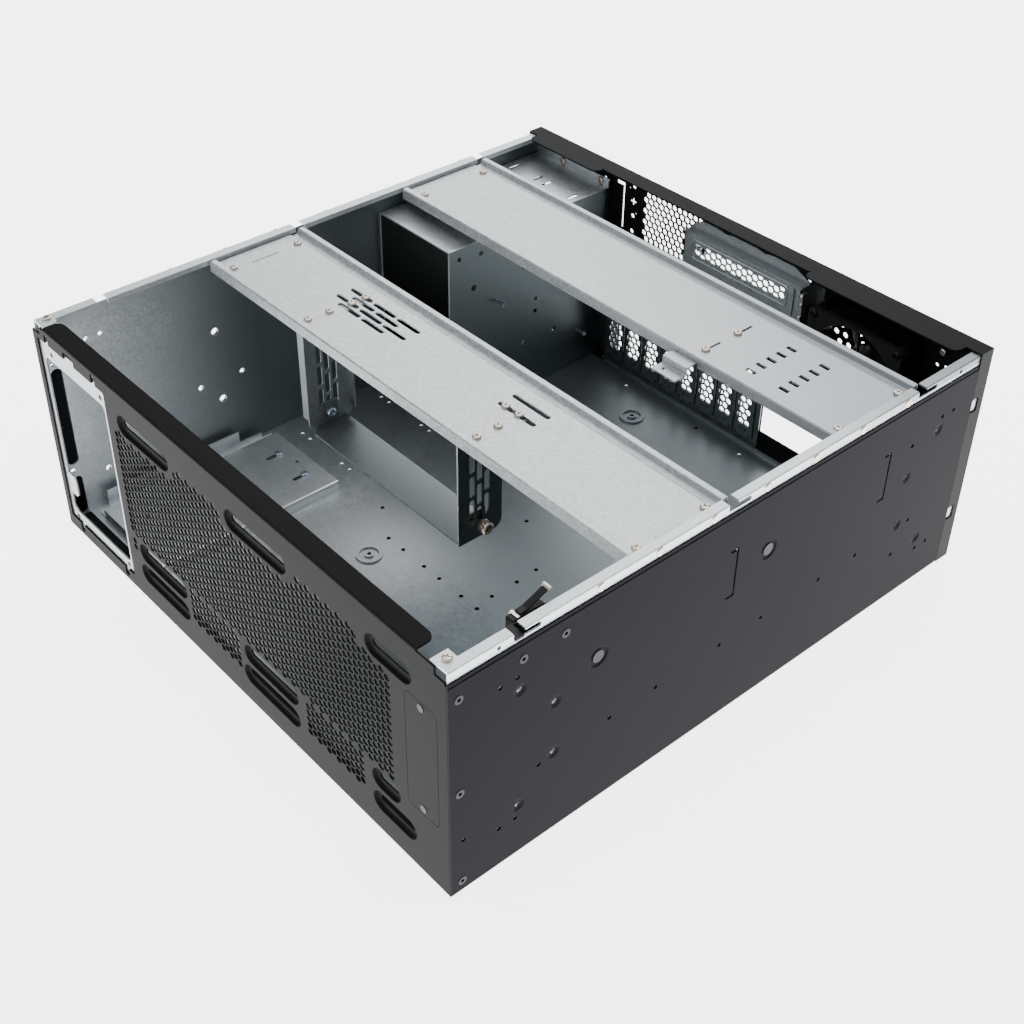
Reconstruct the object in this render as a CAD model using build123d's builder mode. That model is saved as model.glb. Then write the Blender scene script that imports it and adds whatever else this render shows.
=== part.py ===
from build123d import *
import math
import os

os.makedirs("parts", exist_ok=True)

# Millimetres. The case stands on its bottom, front towards -Y, and its origin is
# the middle of the bottom. Distances named back are measured from the front face.

# Driving dimensions of the case
width = 440
depth = 460
rail_top = 174
skin_top = 167
rear_top = 175.6
sheet = 1.2
lay_gap = 0.1
move_gap = 0.35

# Levels and planes that the pieces share
half = width / 2
skin_in = half - sheet
wall_out = skin_in - lay_gap
wall_in = wall_out - sheet
floor_low = sheet + lay_gap
floor_top = floor_low + sheet
foot_low = floor_top + lay_gap
behind_front = sheet + lay_gap
rear_in = depth - sheet
flange_low = rail_top - sheet
pan_near = depth - 14.4
rear_return = depth - 12.8
rear_flange_near = depth - 23


def upright(back):
    """Plane parallel to the front: local x is X, local y is height."""
    return Plane.XZ.offset(depth / 2 - back)


def flank(x):
    """Plane parallel to the sides: local x is the distance back, local y is height."""
    return Plane(origin=(x, -depth / 2, 0), x_dir=(0, 1, 0), z_dir=(1, 0, 0))


def level(z):
    """Plane parallel to the bottom: local x is X, local y is the distance back."""
    return Plane(origin=(0, -depth / 2, z), x_dir=(1, 0, 0), z_dir=(0, 0, 1))


def block(x0, x1, back0, back1, z0, z1, mode=Mode.ADD):
    """Straight tab or cut between limits, inside the piece being built."""
    with BuildSketch(level(z0)) as footprint:
        with Locations(((x0 + x1) / 2, (back0 + back1) / 2)):
            Rectangle(x1 - x0, back1 - back0)
    extrude(footprint.sketch, amount=z1 - z0, mode=mode)


def folded(plane, points, bend=1.0, thickness=sheet, side=Side.LEFT):
    """Section of a folded sheet whose one face follows the points."""
    with BuildSketch(plane) as section:
        with BuildLine():
            FilletPolyline(*points, radius=bend)
            offset(amount=thickness, side=side)
        make_face()
    return section.sketch


# Outer shell: bottom and two painted side skins, folded from one sheet
shell_length = rear_return - 0.2
skin_step = 3
skin_step_depth = 0.4
slide_holes_outer = (49, depth - 48, 41.5, 132.5)
slide_holes_inner = (75, depth - 75, 66.5, 106.5)
slide_hole_r = 2.0
slide_dish_r = 4.6
slide_dish_depth = 0.6
slide_dish_taper = 70
row_height = 64
row_backs = (64, 119, 157, 212, 250, 305, 342, 398)
small_hole_r = 1.5
small_holes = (
    (35, 143), (47, 143), (9, 43), (35, 32), (47, 32),
    (depth - 75, 132), (depth - 75, 41), (depth - 46, 142), (depth - 34, 142),
    (depth - 46, 31), (depth - 34, 31),
)
dish_r = 7.5
dish_depth = 0.7
dish_taper = 60
dish_height = 120.5
dish_backs = (107, 248)
bridge_backs = (219, 362)
bridge_height = (101, 137)
bridge_slot = 1.6
bridge_leg = 7
rivet_r = 3.0
rivet_head = 0.3
rivet_hole_r = 1.6
board_holes = (
    (-79.5, depth - 182), (45, depth - 182), (-79.5, depth - 27), (45, depth - 27),
)
board_hole_r = 1.6
shell_rivet_places = ((7, 153), (51, 154), (81, 154), (7, 82), (8, 9))
wall_holes_left = (
    (8, 134.5, 1.5), (35.5, 145, 1.75), (46.5, 145, 1.75), (135.5, 110, 3.0), (118.5, 67, 2.25),
    (155, 67, 2.25), (136, 50, 3.0), (35.5, 33.5, 2.25), (8, 43.5, 2.0),
)
floor_hole_r = 1.6
pair_backs = (191, 269)
pair_places = (-197, -187, -145, -135)


def corner_places(limits):
    """The four corners of a rectangle given as two distances and two heights."""
    near, far, low, high = limits
    return [(near, low), (near, high), (far, low), (far, high)]


slide_places = corner_places(slide_holes_outer) + corner_places(slide_holes_inner)

with BuildPart() as outer_shell:
    with BuildSketch(upright(0)) as u_section:
        with Locations((0, skin_top / 2)):
            Rectangle(width, skin_top)
        fillet(u_section.vertices().group_by(Axis.Y)[0], radius=1.5)
        with Locations((0, sheet + skin_top / 2)):
            Rectangle(2 * skin_in, skin_top, mode=Mode.SUBTRACT)
    extrude(amount=-shell_length)
    for hand in (-1, 1):
        with BuildSketch(flank(hand * half)):
            with Locations((shell_length / 2, skin_top - skin_step / 2)):
                Rectangle(shell_length, skin_step)
        extrude(amount=-hand * skin_step_depth, mode=Mode.SUBTRACT)
        with BuildSketch(flank(hand * half)):
            with Locations(*slide_places):
                Circle(slide_dish_r)
        extrude(amount=-hand * slide_dish_depth, taper=slide_dish_taper, mode=Mode.SUBTRACT)
        with BuildSketch(flank(hand * half)):
            with Locations(*[(back, dish_height) for back in dish_backs]):
                Circle(dish_r)
        extrude(amount=-hand * dish_depth, taper=dish_taper, mode=Mode.SUBTRACT)
    block(-skin_in, skin_in, 0, behind_front, 0, sheet, Mode.SUBTRACT)
    with BuildSketch(level(0)):
        with Locations(*board_holes):
            Circle(board_hole_r)
        for back in pair_backs:
            with Locations(*[(x, back) for x in pair_places]):
                Circle(floor_hole_r)
    extrude(amount=sheet, mode=Mode.SUBTRACT)
    with BuildSketch(flank(-half)):
        for back, z, radius in wall_holes_left:
            with Locations((back, z)):
                Circle(radius)
    extrude(amount=sheet, mode=Mode.SUBTRACT)
    with BuildSketch(flank(0)):
        with Locations(*slide_places):
            Circle(slide_hole_r)
        with Locations(*small_holes):
            Circle(small_hole_r)
        with Locations(*[(back, row_height) for back in row_backs]):
            Circle(small_hole_r)
        with Locations(*shell_rivet_places):
            Circle(rivet_hole_r)
        with Locations(*[(back, dish_height) for back in dish_backs]):
            Circle(rivet_hole_r)
        with Locations(*[(back, sum(bridge_height) / 2) for back in bridge_backs]):
            Rectangle(bridge_slot, bridge_height[1] - bridge_height[0])
        for back in bridge_backs:
            for z in bridge_height:
                with Locations((back + (bridge_slot - bridge_leg) / 2, z)):
                    Rectangle(bridge_leg, bridge_slot)
    extrude(amount=half + 1, both=True, mode=Mode.SUBTRACT)
outer_shell.part.label = "outer_shell"
export_step(outer_shell.part, "parts/outer_shell.step")

# Rivets and screws of the side skins
with BuildPart() as shell_rivets:
    with BuildSketch(flank(half)):
        with Locations(*shell_rivet_places):
            Circle(rivet_r)
    extrude(amount=rivet_head)
    with BuildSketch(flank(half)):
        with Locations(*shell_rivet_places):
            Circle(rivet_hole_r - lay_gap)
    extrude(amount=-sheet)
    mirror(about=Plane.YZ)
shell_rivets.part.label = "shell_rivets"
export_step(shell_rivets.part, "parts/shell_rivets.step")

dish_screw_r = 4.2
dish_screw_head = 0.6
with BuildPart() as shell_screws:
    with BuildSketch(flank(half - dish_depth)):
        with Locations(*[(back, dish_height) for back in dish_backs]):
            Circle(dish_screw_r)
    extrude(amount=dish_screw_head)
    with BuildSketch(flank(half - dish_depth)):
        with Locations(*[(back, dish_height) for back in dish_backs]):
            Circle(rivet_hole_r - lay_gap)
    extrude(amount=dish_depth - sheet)
    mirror(about=Plane.YZ)
shell_screws.part.label = "shell_screws"
export_step(shell_screws.part, "parts/shell_screws.step")

# Side walls with the rails that carry the top cover
flange_right = half - 8
flange_left = half - 10
lip_low = 170.2
corner_tab_in = half - 15.6
corner_tab_length = 13
notch_backs = (45, 208, 383)
notch_open = 8
notch_run = 11
notch_low = 169
slot_top = 172.6
wall_end = rear_in - lay_gap
wall_slot_back = (5.3, 14)
wall_slots = ((49, 131), (4, 38))
wall_slot_bulges = ((6.5, 88), (6.5, 127.5))
wall_bulge_r = 3.5
rail_rivet_backs = (107, 152, 196, 241, 284, 328, 372)
rail_hole_backs = (35, depth - 33)
rail_rivet_height = 170.6
rail_rivet_r = 2.6
rail_rivet_head = 0.8
rail_rivet_shank = 1.1
rail_hole_r = 1.5


def side_wall(hand, flange_in, lip):
    """Wall sheet, its flange at the top and, on the left, the lip under the flange."""
    run = [(hand * wall_out, floor_low), (hand * wall_out, rail_top), (hand * flange_in, rail_top)]
    if lip:
        run.append((hand * flange_in, lip_low))
    side = Side.LEFT if hand > 0 else Side.RIGHT
    with BuildPart() as wall:
        extrude(folded(upright(behind_front), run, side=side), amount=behind_front - wall_end)
        block(*sorted((hand * corner_tab_in, hand * wall_in)), behind_front,
              corner_tab_length, flange_low, rail_top)
        for back in notch_backs:
            block(*sorted((hand * (corner_tab_in - 2), hand * half)), back, back + notch_open,
                  notch_low, rail_top + 1, Mode.SUBTRACT)
        with BuildSketch(flank(hand * half)):
            for back in notch_backs:
                with Locations((back + notch_open + notch_run / 2 - 2, (notch_low + slot_top) / 2)):
                    SlotOverall(notch_run + 4, slot_top - notch_low)
            with Locations(*[(back, rail_rivet_height) for back in rail_rivet_backs]):
                Circle(rail_rivet_shank + lay_gap)
            with Locations(*[(back, rail_rivet_height) for back in rail_hole_backs]):
                Circle(rail_hole_r)
            with Locations(*slide_places):
                Circle(slide_hole_r + lay_gap)
        extrude(amount=-hand * 5, mode=Mode.SUBTRACT)
    return wall


wall_right = side_wall(1, flange_right, False)
wall_right.part.label = "side_wall_right"
export_step(wall_right.part, "parts/side_wall_right.step")

wall_left = side_wall(-1, flange_left, True)
with BuildPart() as side_wall_left:
    add(wall_left.part)
    with BuildSketch(flank(-half)):
        for back, z, radius in wall_holes_left:
            with Locations((back, z)):
                Circle(radius)
        for low, high in wall_slots:
            with Locations((sum(wall_slot_back) / 2, (low + high) / 2)):
                SlotOverall(high - low, wall_slot_back[1] - wall_slot_back[0], rotation=90)
        with Locations(*wall_slot_bulges):
            Circle(wall_bulge_r)
    extrude(amount=5, mode=Mode.SUBTRACT)
side_wall_left.part.label = "side_wall_left"
export_step(side_wall_left.part, "parts/side_wall_left.step")

with BuildPart() as rail_rivets:
    with BuildSketch(flank(wall_out)):
        with Locations(*[(back, rail_rivet_height) for back in rail_rivet_backs]):
            Circle(rail_rivet_r)
    extrude(amount=rail_rivet_head)
    with BuildSketch(flank(wall_out)):
        with Locations(*[(back, rail_rivet_height) for back in rail_rivet_backs]):
            Circle(rail_rivet_shank)
    extrude(amount=-sheet)
    mirror(about=Plane.YZ)
rail_rivets.part.label = "rail_rivets"
export_step(rail_rivets.part, "parts/rail_rivets.step")

# Floor
floor_front = behind_front + lay_gap
floor_end = pan_near - 2 * lay_gap
floor_lip = 3.5
cage_clear = -118
stud_places = ((-45, 142), (-45, depth - 55))
stud_r = 9.8
stud_ring = 2.5
stud_boss_r = 3.5
stud_rise = 1.5
floor_holes = (
    (-51, 164), (-34, 164), (-10, 164), (7, 164), (31, 164), (48, 164), (-82, 182),
    (45, 180), (45, 203), (44, 222), (-1, 253), (-22, 277), (-1, 277), (-1, depth - 27),
)
with BuildPart() as floor_plate:
    with BuildSketch(flank(-wall_in + lay_gap)):
        with BuildLine():
            FilletPolyline(
                (floor_front, floor_low), (floor_end, floor_low), (floor_end, floor_top + floor_lip),
                radius=1.6,
            )
            offset(amount=sheet, side=Side.LEFT)
        make_face()
    extrude(amount=2 * (wall_in - lay_gap))
    block(-half, cage_clear, floor_end - 2 * sheet, floor_end + 1, floor_top,
          floor_top + floor_lip + 1, Mode.SUBTRACT)
    with BuildSketch(level(floor_top)):
        with Locations(*stud_places):
            Circle(stud_r)
            Circle(stud_r - stud_ring, mode=Mode.SUBTRACT)
            Circle(stud_boss_r)
    extrude(amount=stud_rise)
    with BuildSketch(level(0)):
        with Locations(*stud_places):
            Circle(floor_hole_r)
        with Locations(*floor_holes):
            Circle(floor_hole_r)
        with Locations(*board_holes):
            Circle(board_hole_r)
        for back in pair_backs:
            with Locations(*[(x, back) for x in pair_places]):
                Circle(floor_hole_r)
    extrude(amount=floor_top + stud_rise + 1, mode=Mode.SUBTRACT)
floor_plate.part.label = "floor_plate"
export_step(floor_plate.part, "parts/floor_plate.step")

# Front plate with the drawn recesses and the drive bay opening
plate_half = skin_in - lay_gap * 2
top_flange_length = 14
top_flange_left = 16 - half
top_flange_right = half - 26
top_flange_corner = 6
shoulder = half - 11
bottom_flange_length = 15
bay_left = 5.6 - half
bay_right = bay_left + 88.6
bay_low = 10
bay_high = 163
recess_height = 16
recess_depth = 2.5
recess_slot = 5.5
recess_inset = 9
recess_rows = {
    149: ((-112, -50), (12, 76), (half - 71, half - 30)),
    44.25: ((-110, -50), (17, 76), (half - 71, half - 44)),
    25.25: ((-112, -50), (14, 76), (half - 71, half - 30)),
}
recesses = [(left, right, z) for z, spans in recess_rows.items() for left, right in spans]
blank_left = half - 37
blank_right = half - 9.4
blank_low = 50
blank_high = 138
blank_corner = 4
blank_gap = 0.3
blank_rivet_inset = 4.5
blank_rivet_r = 2.6
hook_cuts = (
    (bay_left + 13.4, 160, 10), (bay_right - 12.7, 160, 11), (bay_left + 14.9, 10, 7),
    (bay_right - 10.7, 10, 7),
)
hook_cut_wide = 5
bay_notch = (bay_left + 36.4, bay_left + 50.4, bay_high - 2, bay_high + 6)
grille_bar = 3.6
grille_fields = (
    (-120, 171, 53.5, 138.5, 12, 4), (-49, 10, 138.5, 152, 3, 1), (81, 142, 138.5, 152, 3, 1),
    (-49, 12, 23, 53.5, 3, 2), (81, 143, 23, 53.5, 3, 2), (-120, -112, 36, 53.5, 1, 1),
)


def obround(left, right, z, height):
    """Level obround between two ends, in the sketch being drawn."""
    with Locations(((left + right) / 2, z)):
        SlotOverall(right - left, height)


def window(limits, corner, mode=Mode.ADD):
    """Rounded opening between two x and two heights, in the sketch being drawn."""
    left, right, low, high = limits
    with Locations(((left + right) / 2, (low + high) / 2)):
        RectangleRounded(right - left, high - low, corner, mode=mode)


def round_ended(limits, z, corner, free_edge):
    """Level flange whose two corners at the free edge, near 0 or far 1, are rounded."""
    left, right, near, far = limits
    with BuildSketch(level(z)) as flange:
        with Locations(((left + right) / 2, (near + far) / 2)):
            Rectangle(right - left, far - near)
        fillet(flange.vertices().group_by(Axis.Y)[-free_edge], radius=corner)
    extrude(flange.sketch, amount=sheet)


with BuildPart() as front_plate:
    with BuildSketch(upright(0)) as face:
        with Locations((0, rail_top / 2)):
            Rectangle(2 * plate_half, rail_top)
        for hand in (-1, 1):
            with Locations((hand * (plate_half + shoulder) / 2, (skin_top + rail_top) / 2)):
                Rectangle(plate_half - shoulder, rail_top - skin_top, mode=Mode.SUBTRACT)
        with Locations(((bay_left + bay_right) / 2, (bay_low + bay_high) / 2)):
            RectangleRounded(bay_right - bay_left, bay_high - bay_low, 2, mode=Mode.SUBTRACT)
        for x, z, size in hook_cuts:
            with Locations((x, z)):
                SlotOverall(2 * size, hook_cut_wide, rotation=90, mode=Mode.SUBTRACT)
        window(bay_notch, 2, Mode.SUBTRACT)
        window((blank_left, blank_right, blank_low, blank_high), blank_corner, Mode.SUBTRACT)
        for left, right, low, high, columns, rows in grille_fields:
            across = (right - left) / columns
            up = (high - low) / rows
            with Locations(((left + right) / 2, (low + high) / 2)):
                with GridLocations(across, up, columns, rows):
                    Rectangle(across - grille_bar, up - grille_bar, mode=Mode.SUBTRACT)
    extrude(amount=-sheet)
    with BuildSketch(upright(sheet)):
        for left, right, z in recesses:
            obround(left, right, z, recess_height)
    extrude(amount=-recess_depth, taper=20)
    with BuildSketch(upright(0)):
        for left, right, z in recesses:
            obround(left + sheet, right - sheet, z, recess_height - 2 * sheet)
    extrude(amount=-recess_depth, taper=20, mode=Mode.SUBTRACT)
    with BuildSketch(upright(0)):
        for left, right, z in recesses:
            obround(left + recess_inset / 2, right - recess_inset / 2, z, recess_slot)
    extrude(amount=-recess_depth - 2 * sheet, mode=Mode.SUBTRACT)
    top_flange = (top_flange_left, top_flange_right, 0, top_flange_length)
    round_ended(top_flange, flange_low, top_flange_corner, 1)
    block(1 - wall_in, wall_in - 1, 0, bottom_flange_length, foot_low, foot_low + sheet)
front_plate.part.label = "front_plate"
export_step(front_plate.part, "parts/front_plate.step")

# Blanking plate of the front, set flush in its window over a wider back
with BuildPart() as front_blank_plate:
    blank_middle = ((blank_left + blank_right) / 2, (blank_low + blank_high) / 2)
    blank_width = blank_right - blank_left - 2 * blank_gap
    blank_tall = blank_high - blank_low - 2 * blank_gap
    with BuildSketch(upright(0)):
        with Locations(blank_middle):
            RectangleRounded(blank_width, blank_tall, blank_corner - blank_gap)
    extrude(amount=-behind_front)
    with BuildSketch(upright(behind_front)):
        with Locations(blank_middle):
            RectangleRounded(blank_width + 5, blank_tall + 7, blank_corner)
    extrude(amount=-sheet)
    with BuildSketch(upright(0)):
        for z in (blank_low + blank_rivet_inset, blank_high - blank_rivet_inset):
            with Locations((blank_middle[0], z)):
                Circle(rivet_hole_r)
    extrude(amount=-5, mode=Mode.SUBTRACT)
front_blank_plate.part.label = "front_blank_plate"
export_step(front_blank_plate.part, "parts/front_blank_plate.step")

with BuildPart() as front_plate_rivets:
    for z in (blank_low + blank_rivet_inset, blank_high - blank_rivet_inset):
        with BuildSketch(upright(0)):
            with Locations((blank_middle[0], z)):
                Circle(blank_rivet_r)
        extrude(amount=rivet_head)
        with BuildSketch(upright(0)):
            with Locations((blank_middle[0], z)):
                Circle(rivet_hole_r - lay_gap)
        extrude(amount=-behind_front - sheet)
front_plate_rivets.part.label = "front_plate_rivets"
export_step(front_plate_rivets.part, "parts/front_plate_rivets.step")

# Frame of the drive bay, behind the front plate
frame_left = bay_left + 4.4
frame_right = bay_right - 4.7
frame_plate = (2 * lay_gap - wall_in, bay_right + 7.8, 5, 165)
frame_low = 17.8
frame_high = 149.4
lobe_low = 33
lobe_high = 51
lobe_in = frame_left + 10.5
frame_holes = (
    (frame_left + 11, 155), (frame_right - 3.5, 155), (frame_right - 3.5, 14), (frame_left + 4, 13),
)
with BuildPart() as front_bay_frame:
    with BuildSketch(upright(behind_front)):
        window(frame_plate, 1)
        window((frame_left, frame_right, frame_low, frame_high), 5, Mode.SUBTRACT)
        window((frame_left - 2, lobe_in, lobe_low, lobe_high), 4)
        with Locations(*frame_holes):
            Circle(2, mode=Mode.SUBTRACT)
    extrude(amount=-sheet)
front_bay_frame.part.label = "front_bay_frame"
export_step(front_bay_frame.part, "parts/front_bay_frame.step")

# Two pressed braces across the top
brace_left = 12.1 - half
brace_right = half - 8.3
brace_flat = 171.2
brace_lip = 166
brace_groove = 170
front_brace_back = 133
rear_brace_back = depth - 154
brace_deep = 81
rear_brace_deep = 84.6


def brace_section(start, deep):
    """Beads along both edges and a groove before the rear one, in one folded sheet."""
    end = start + deep
    run = [
        (start, brace_lip), (start, rail_top), (start + 5, rail_top), (start + 6.5, brace_flat),
        (end - 12, brace_flat), (end - 10.5, brace_groove), (end - 6.5, brace_groove),
        (end - 5, rail_top), (end, rail_top), (end, brace_lip),
    ]
    return folded(flank(brace_left), run, bend=1.3, side=Side.RIGHT)


brace_screw_r = 3.0
brace_screw_hole = 1.7
seat_screws = {
    "front": (
        (26.5 - half, front_brace_back + 65.3), (26.5 - half, front_brace_back + 10.5),
        (half - 11.5, front_brace_back + 65.3), (half - 11.5, front_brace_back + 10.5),
    ),
    "rear": (
        (26.5 - half, rear_brace_back + 68.8), (26.5 - half, rear_brace_back + 10.4),
        (half - 11.5, rear_brace_back + 68.8), (half - 11.5, rear_brace_back + 10.4),
    ),
}
front_brace_screws = (
    (-100.6, 190), (-100.6, 178), (-102, 160.6), (-103, 143.4), (59.7, 178), (72, 178),
    (72.6, 160.6), (72.6, 143.4),
)
stay_left = 80
stay_wide = 21
stay_screw_x = 95.6
rear_brace_screws = (
    (stay_screw_x, rear_brace_back + 45), (stay_screw_x, rear_brace_back + 14),
)
slot_long = 24
slot_wide = 4
front_slots = (
    (-105, 190), (-79, 190), (-53, 190), (-105, 178), (-79, 178), (-53, 178),
    (-95, 184), (-69, 184), (-95, 172), (-69, 172),
)
front_slots_right = ((70, 190), (70, 178))
right_slot_long = 34
rib_rise = 0.4
rib_size = (23, 2)
front_ribs = ((half - 11.2, front_brace_back + 36.5), (27 - half, front_brace_back + 37))
rear_ribs = ((half - 10.3, rear_brace_back + 38),)
small_slots_x = (131.5, 159)
small_slots_back = [rear_brace_back + offset for offset in (57.5, 47.2, 37.5, 27.5, 17.8)]
small_slot = (8, 3.4)
slit = (2, 10)
slit_backs = (rear_brace_back + 54, rear_brace_back + 23)

with BuildPart() as brace_front:
    extrude(brace_section(front_brace_back, brace_deep), amount=brace_right - brace_left)
    with BuildSketch(level(brace_groove)):
        with Locations(*front_slots):
            SlotOverall(slot_long, slot_wide)
        with Locations(*front_slots_right):
            SlotOverall(right_slot_long, slot_wide)
        with Locations(*seat_screws["front"]):
            Circle(brace_screw_hole)
        with Locations(*front_brace_screws):
            Circle(brace_screw_hole)
    extrude(amount=6, both=True, mode=Mode.SUBTRACT)
    with BuildSketch(level(brace_flat)):
        with Locations(*front_ribs):
            SlotOverall(*rib_size, rotation=90)
    extrude(amount=rib_rise)
brace_front.part.label = "brace_front"
export_step(brace_front.part, "parts/brace_front.step")

with BuildPart() as brace_rear:
    extrude(brace_section(rear_brace_back, rear_brace_deep), amount=brace_right - brace_left)
    with BuildSketch(level(brace_groove)):
        for x in small_slots_x:
            with Locations(*[(x, back) for back in small_slots_back]):
                Rectangle(*small_slot)
        with Locations(*[(stay_screw_x, back) for back in slit_backs]):
            Rectangle(*slit)
        with Locations(*seat_screws["rear"]):
            Circle(brace_screw_hole)
        with Locations(*rear_brace_screws):
            Circle(brace_screw_hole)
    extrude(amount=6, both=True, mode=Mode.SUBTRACT)
    block(stay_left - move_gap, stay_left + stay_wide + move_gap, rear_brace_back - 1,
          rear_brace_back + 2 * sheet, brace_lip - 1, brace_flat - sheet, Mode.SUBTRACT)
    with BuildSketch(level(brace_flat)):
        with Locations(*rear_ribs):
            SlotOverall(*rib_size, rotation=90)
    extrude(amount=rib_rise)
brace_rear.part.label = "brace_rear"
export_step(brace_rear.part, "parts/brace_rear.step")

# Angle brackets that carry the ends of the braces
seat_in = half - 31
seat_leg = 13
seat_spans = {
    "front": (front_brace_back + 6.8, brace_deep - 19.4), "rear": (rear_brace_back + 7, rear_brace_deep - 20.2),
}
seat_top = brace_flat - sheet - lay_gap
with BuildPart() as brace_seats:
    for hand in (-1, 1):
        for end, (near, seat_long) in seat_spans.items():
            places = seat_screws[end]
            run = [
                (hand * (wall_in - lay_gap), seat_top - seat_leg),
                (hand * (wall_in - lay_gap), seat_top),
                (hand * seat_in, seat_top),
            ]
            side = Side.LEFT if hand > 0 else Side.RIGHT
            extrude(folded(upright(near), run, side=side), amount=-seat_long)
            with BuildSketch(level(seat_top)):
                with Locations(*[place for place in places if place[0] * hand > 0]):
                    Circle(brace_screw_hole)
            extrude(amount=-3, mode=Mode.SUBTRACT)
brace_seats.part.label = "brace_seats"
export_step(brace_seats.part, "parts/brace_seats.step")

all_brace_screws = (
    seat_screws["front"] + seat_screws["rear"] + front_brace_screws + rear_brace_screws
)
with BuildPart() as brace_screws:
    with BuildSketch(level(brace_flat)):
        with Locations(*all_brace_screws):
            Circle(brace_screw_r)
    extrude(amount=1.8)
    with BuildSketch(level(brace_flat)):
        with Locations(*all_brace_screws):
            Circle(brace_screw_hole - lay_gap)
    extrude(amount=-sheet - lay_gap - sheet)
brace_screws.part.label = "brace_screws"
export_step(brace_screws.part, "parts/brace_screws.step")

# Slotted hangers under the front brace
hanger_right_x = 64
hanger_left_x = -97.3
hanger_low = 84.5
hanger_near = front_brace_back + sheet + 0.3
hanger_far = 170.5
hanger_flange = 6
hanger_slot = 16.3
hanger_slot_wide = 4.2
slot_columns = {
    145.8: (145.7, 127.3, 108.9), 158: (145.7, 127.3, 108.9), 151.9: (138, 119.2, 101),
}


def hanger(hand, inner, ear, ear_far, lip, screw_backs):
    """Web with slots, an ear against the brace, a rear flange and, if long, a front lip."""
    outer = inner + hand * sheet
    with BuildPart() as piece:
        with BuildSketch(flank(inner)) as web:
            with Locations(((hanger_near + hanger_far) / 2, (hanger_low + seat_top) / 2)):
                Rectangle(hanger_far - hanger_near, seat_top - hanger_low)
            fillet(web.vertices().group_by(Axis.Y)[0], radius=7)
            for back, heights in slot_columns.items():
                with Locations(*[(back, z) for z in heights]):
                    SlotOverall(hanger_slot, hanger_slot_wide, rotation=90, mode=Mode.SUBTRACT)
        extrude(amount=hand * sheet)
        block(*sorted((inner, outer + hand * ear)), hanger_near + 2, ear_far,
              seat_top - sheet, seat_top)
        block(*sorted((inner - hand * hanger_flange, outer)), hanger_far - sheet, hanger_far,
              hanger_low + 10, seat_top - 4)
        if lip:
            block(*sorted((inner, outer + hand * lip)), hanger_near, hanger_near + sheet,
                  hanger_low + 10, seat_top - 4)
        with BuildSketch(level(seat_top)):
            with Locations(*screw_backs):
                Circle(brace_screw_hole)
        extrude(amount=-3, mode=Mode.SUBTRACT)
    return piece


right_screws = [place for place in front_brace_screws if place[0] > hanger_right_x]
hanger_right = hanger(1, hanger_right_x, 13, 184, 0, right_screws)
hanger_right.part.label = "hanger_right"
export_step(hanger_right.part, "parts/hanger_right.step")

left_screws = [place for place in front_brace_screws if place[0] < hanger_left_x]
hanger_left = hanger(-1, hanger_left_x, 8, 196, 6, left_screws)
hanger_left.part.label = "hanger_left"
export_step(hanger_left.part, "parts/hanger_left.step")

# Shelf that slides up and down between the hangers
shelf_low = 86
shelf_near = hanger_near
shelf_far = 166
shelf_tab = (144.5, 158)
shelf_tab_rise = 9
shelf_left = hanger_left_x + move_gap
shelf_right = hanger_right_x - move_gap
pin_back = 151.9
pin_height = 96
pin_r = 1.75
pin_end = 2
screw_head_r = 3.5
screw_head = 2.2
thumb_head_r = 4.3
thumb_head = 9
thumb_socket = 4
with BuildPart() as cage_shelf:
    with BuildSketch(level(shelf_low)) as tray:
        with Locations(((shelf_left + shelf_right) / 2, (shelf_near + shelf_far) / 2)):
            Rectangle(shelf_right - shelf_left, shelf_far - shelf_near)
        chamfer(tray.vertices().group_by(Axis.Y)[0].sort_by(Axis.X)[0], length=6)
    extrude(amount=sheet)
    for inner in (shelf_left, shelf_right - sheet):
        block(inner, inner + sheet, *shelf_tab, shelf_low, pin_height + shelf_tab_rise)
        with BuildSketch(flank(inner)):
            with Locations((pin_back, pin_height)):
                Circle(pin_r + lay_gap / 2)
        extrude(amount=sheet, mode=Mode.SUBTRACT)
cage_shelf.part.label = "cage_shelf"
export_step(cage_shelf.part, "parts/cage_shelf.step")

with BuildPart() as shelf_screw:
    with BuildSketch(flank(shelf_left + sheet)):
        with Locations((pin_back, pin_height)):
            Circle(pin_r)
    extrude(amount=-(sheet * 2 + pin_end + move_gap))
    with BuildSketch(flank(shelf_left + sheet)):
        with Locations((pin_back, pin_height)):
            Circle(screw_head_r)
    extrude(amount=screw_head)
shelf_screw.part.label = "shelf_screw"
export_step(shelf_screw.part, "parts/shelf_screw.step")

with BuildPart() as shelf_thumbscrew:
    with BuildSketch(flank(shelf_right - sheet - pin_end)):
        with Locations((pin_back, pin_height)):
            Circle(pin_r)
    extrude(amount=sheet * 2 + pin_end + move_gap * 2)
    with BuildSketch(flank(hanger_right_x + sheet + move_gap)):
        with Locations((pin_back, pin_height)):
            Circle(thumb_head_r)
    extrude(amount=thumb_head)
    with BuildSketch(flank(hanger_right_x + sheet + move_gap + thumb_head)):
        with Locations((pin_back, pin_height)):
            RegularPolygon(pin_r, 6)
    extrude(amount=-thumb_socket, mode=Mode.SUBTRACT)
shelf_thumbscrew.part.label = "shelf_thumbscrew"
export_step(shelf_thumbscrew.part, "parts/shelf_thumbscrew.step")

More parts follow.
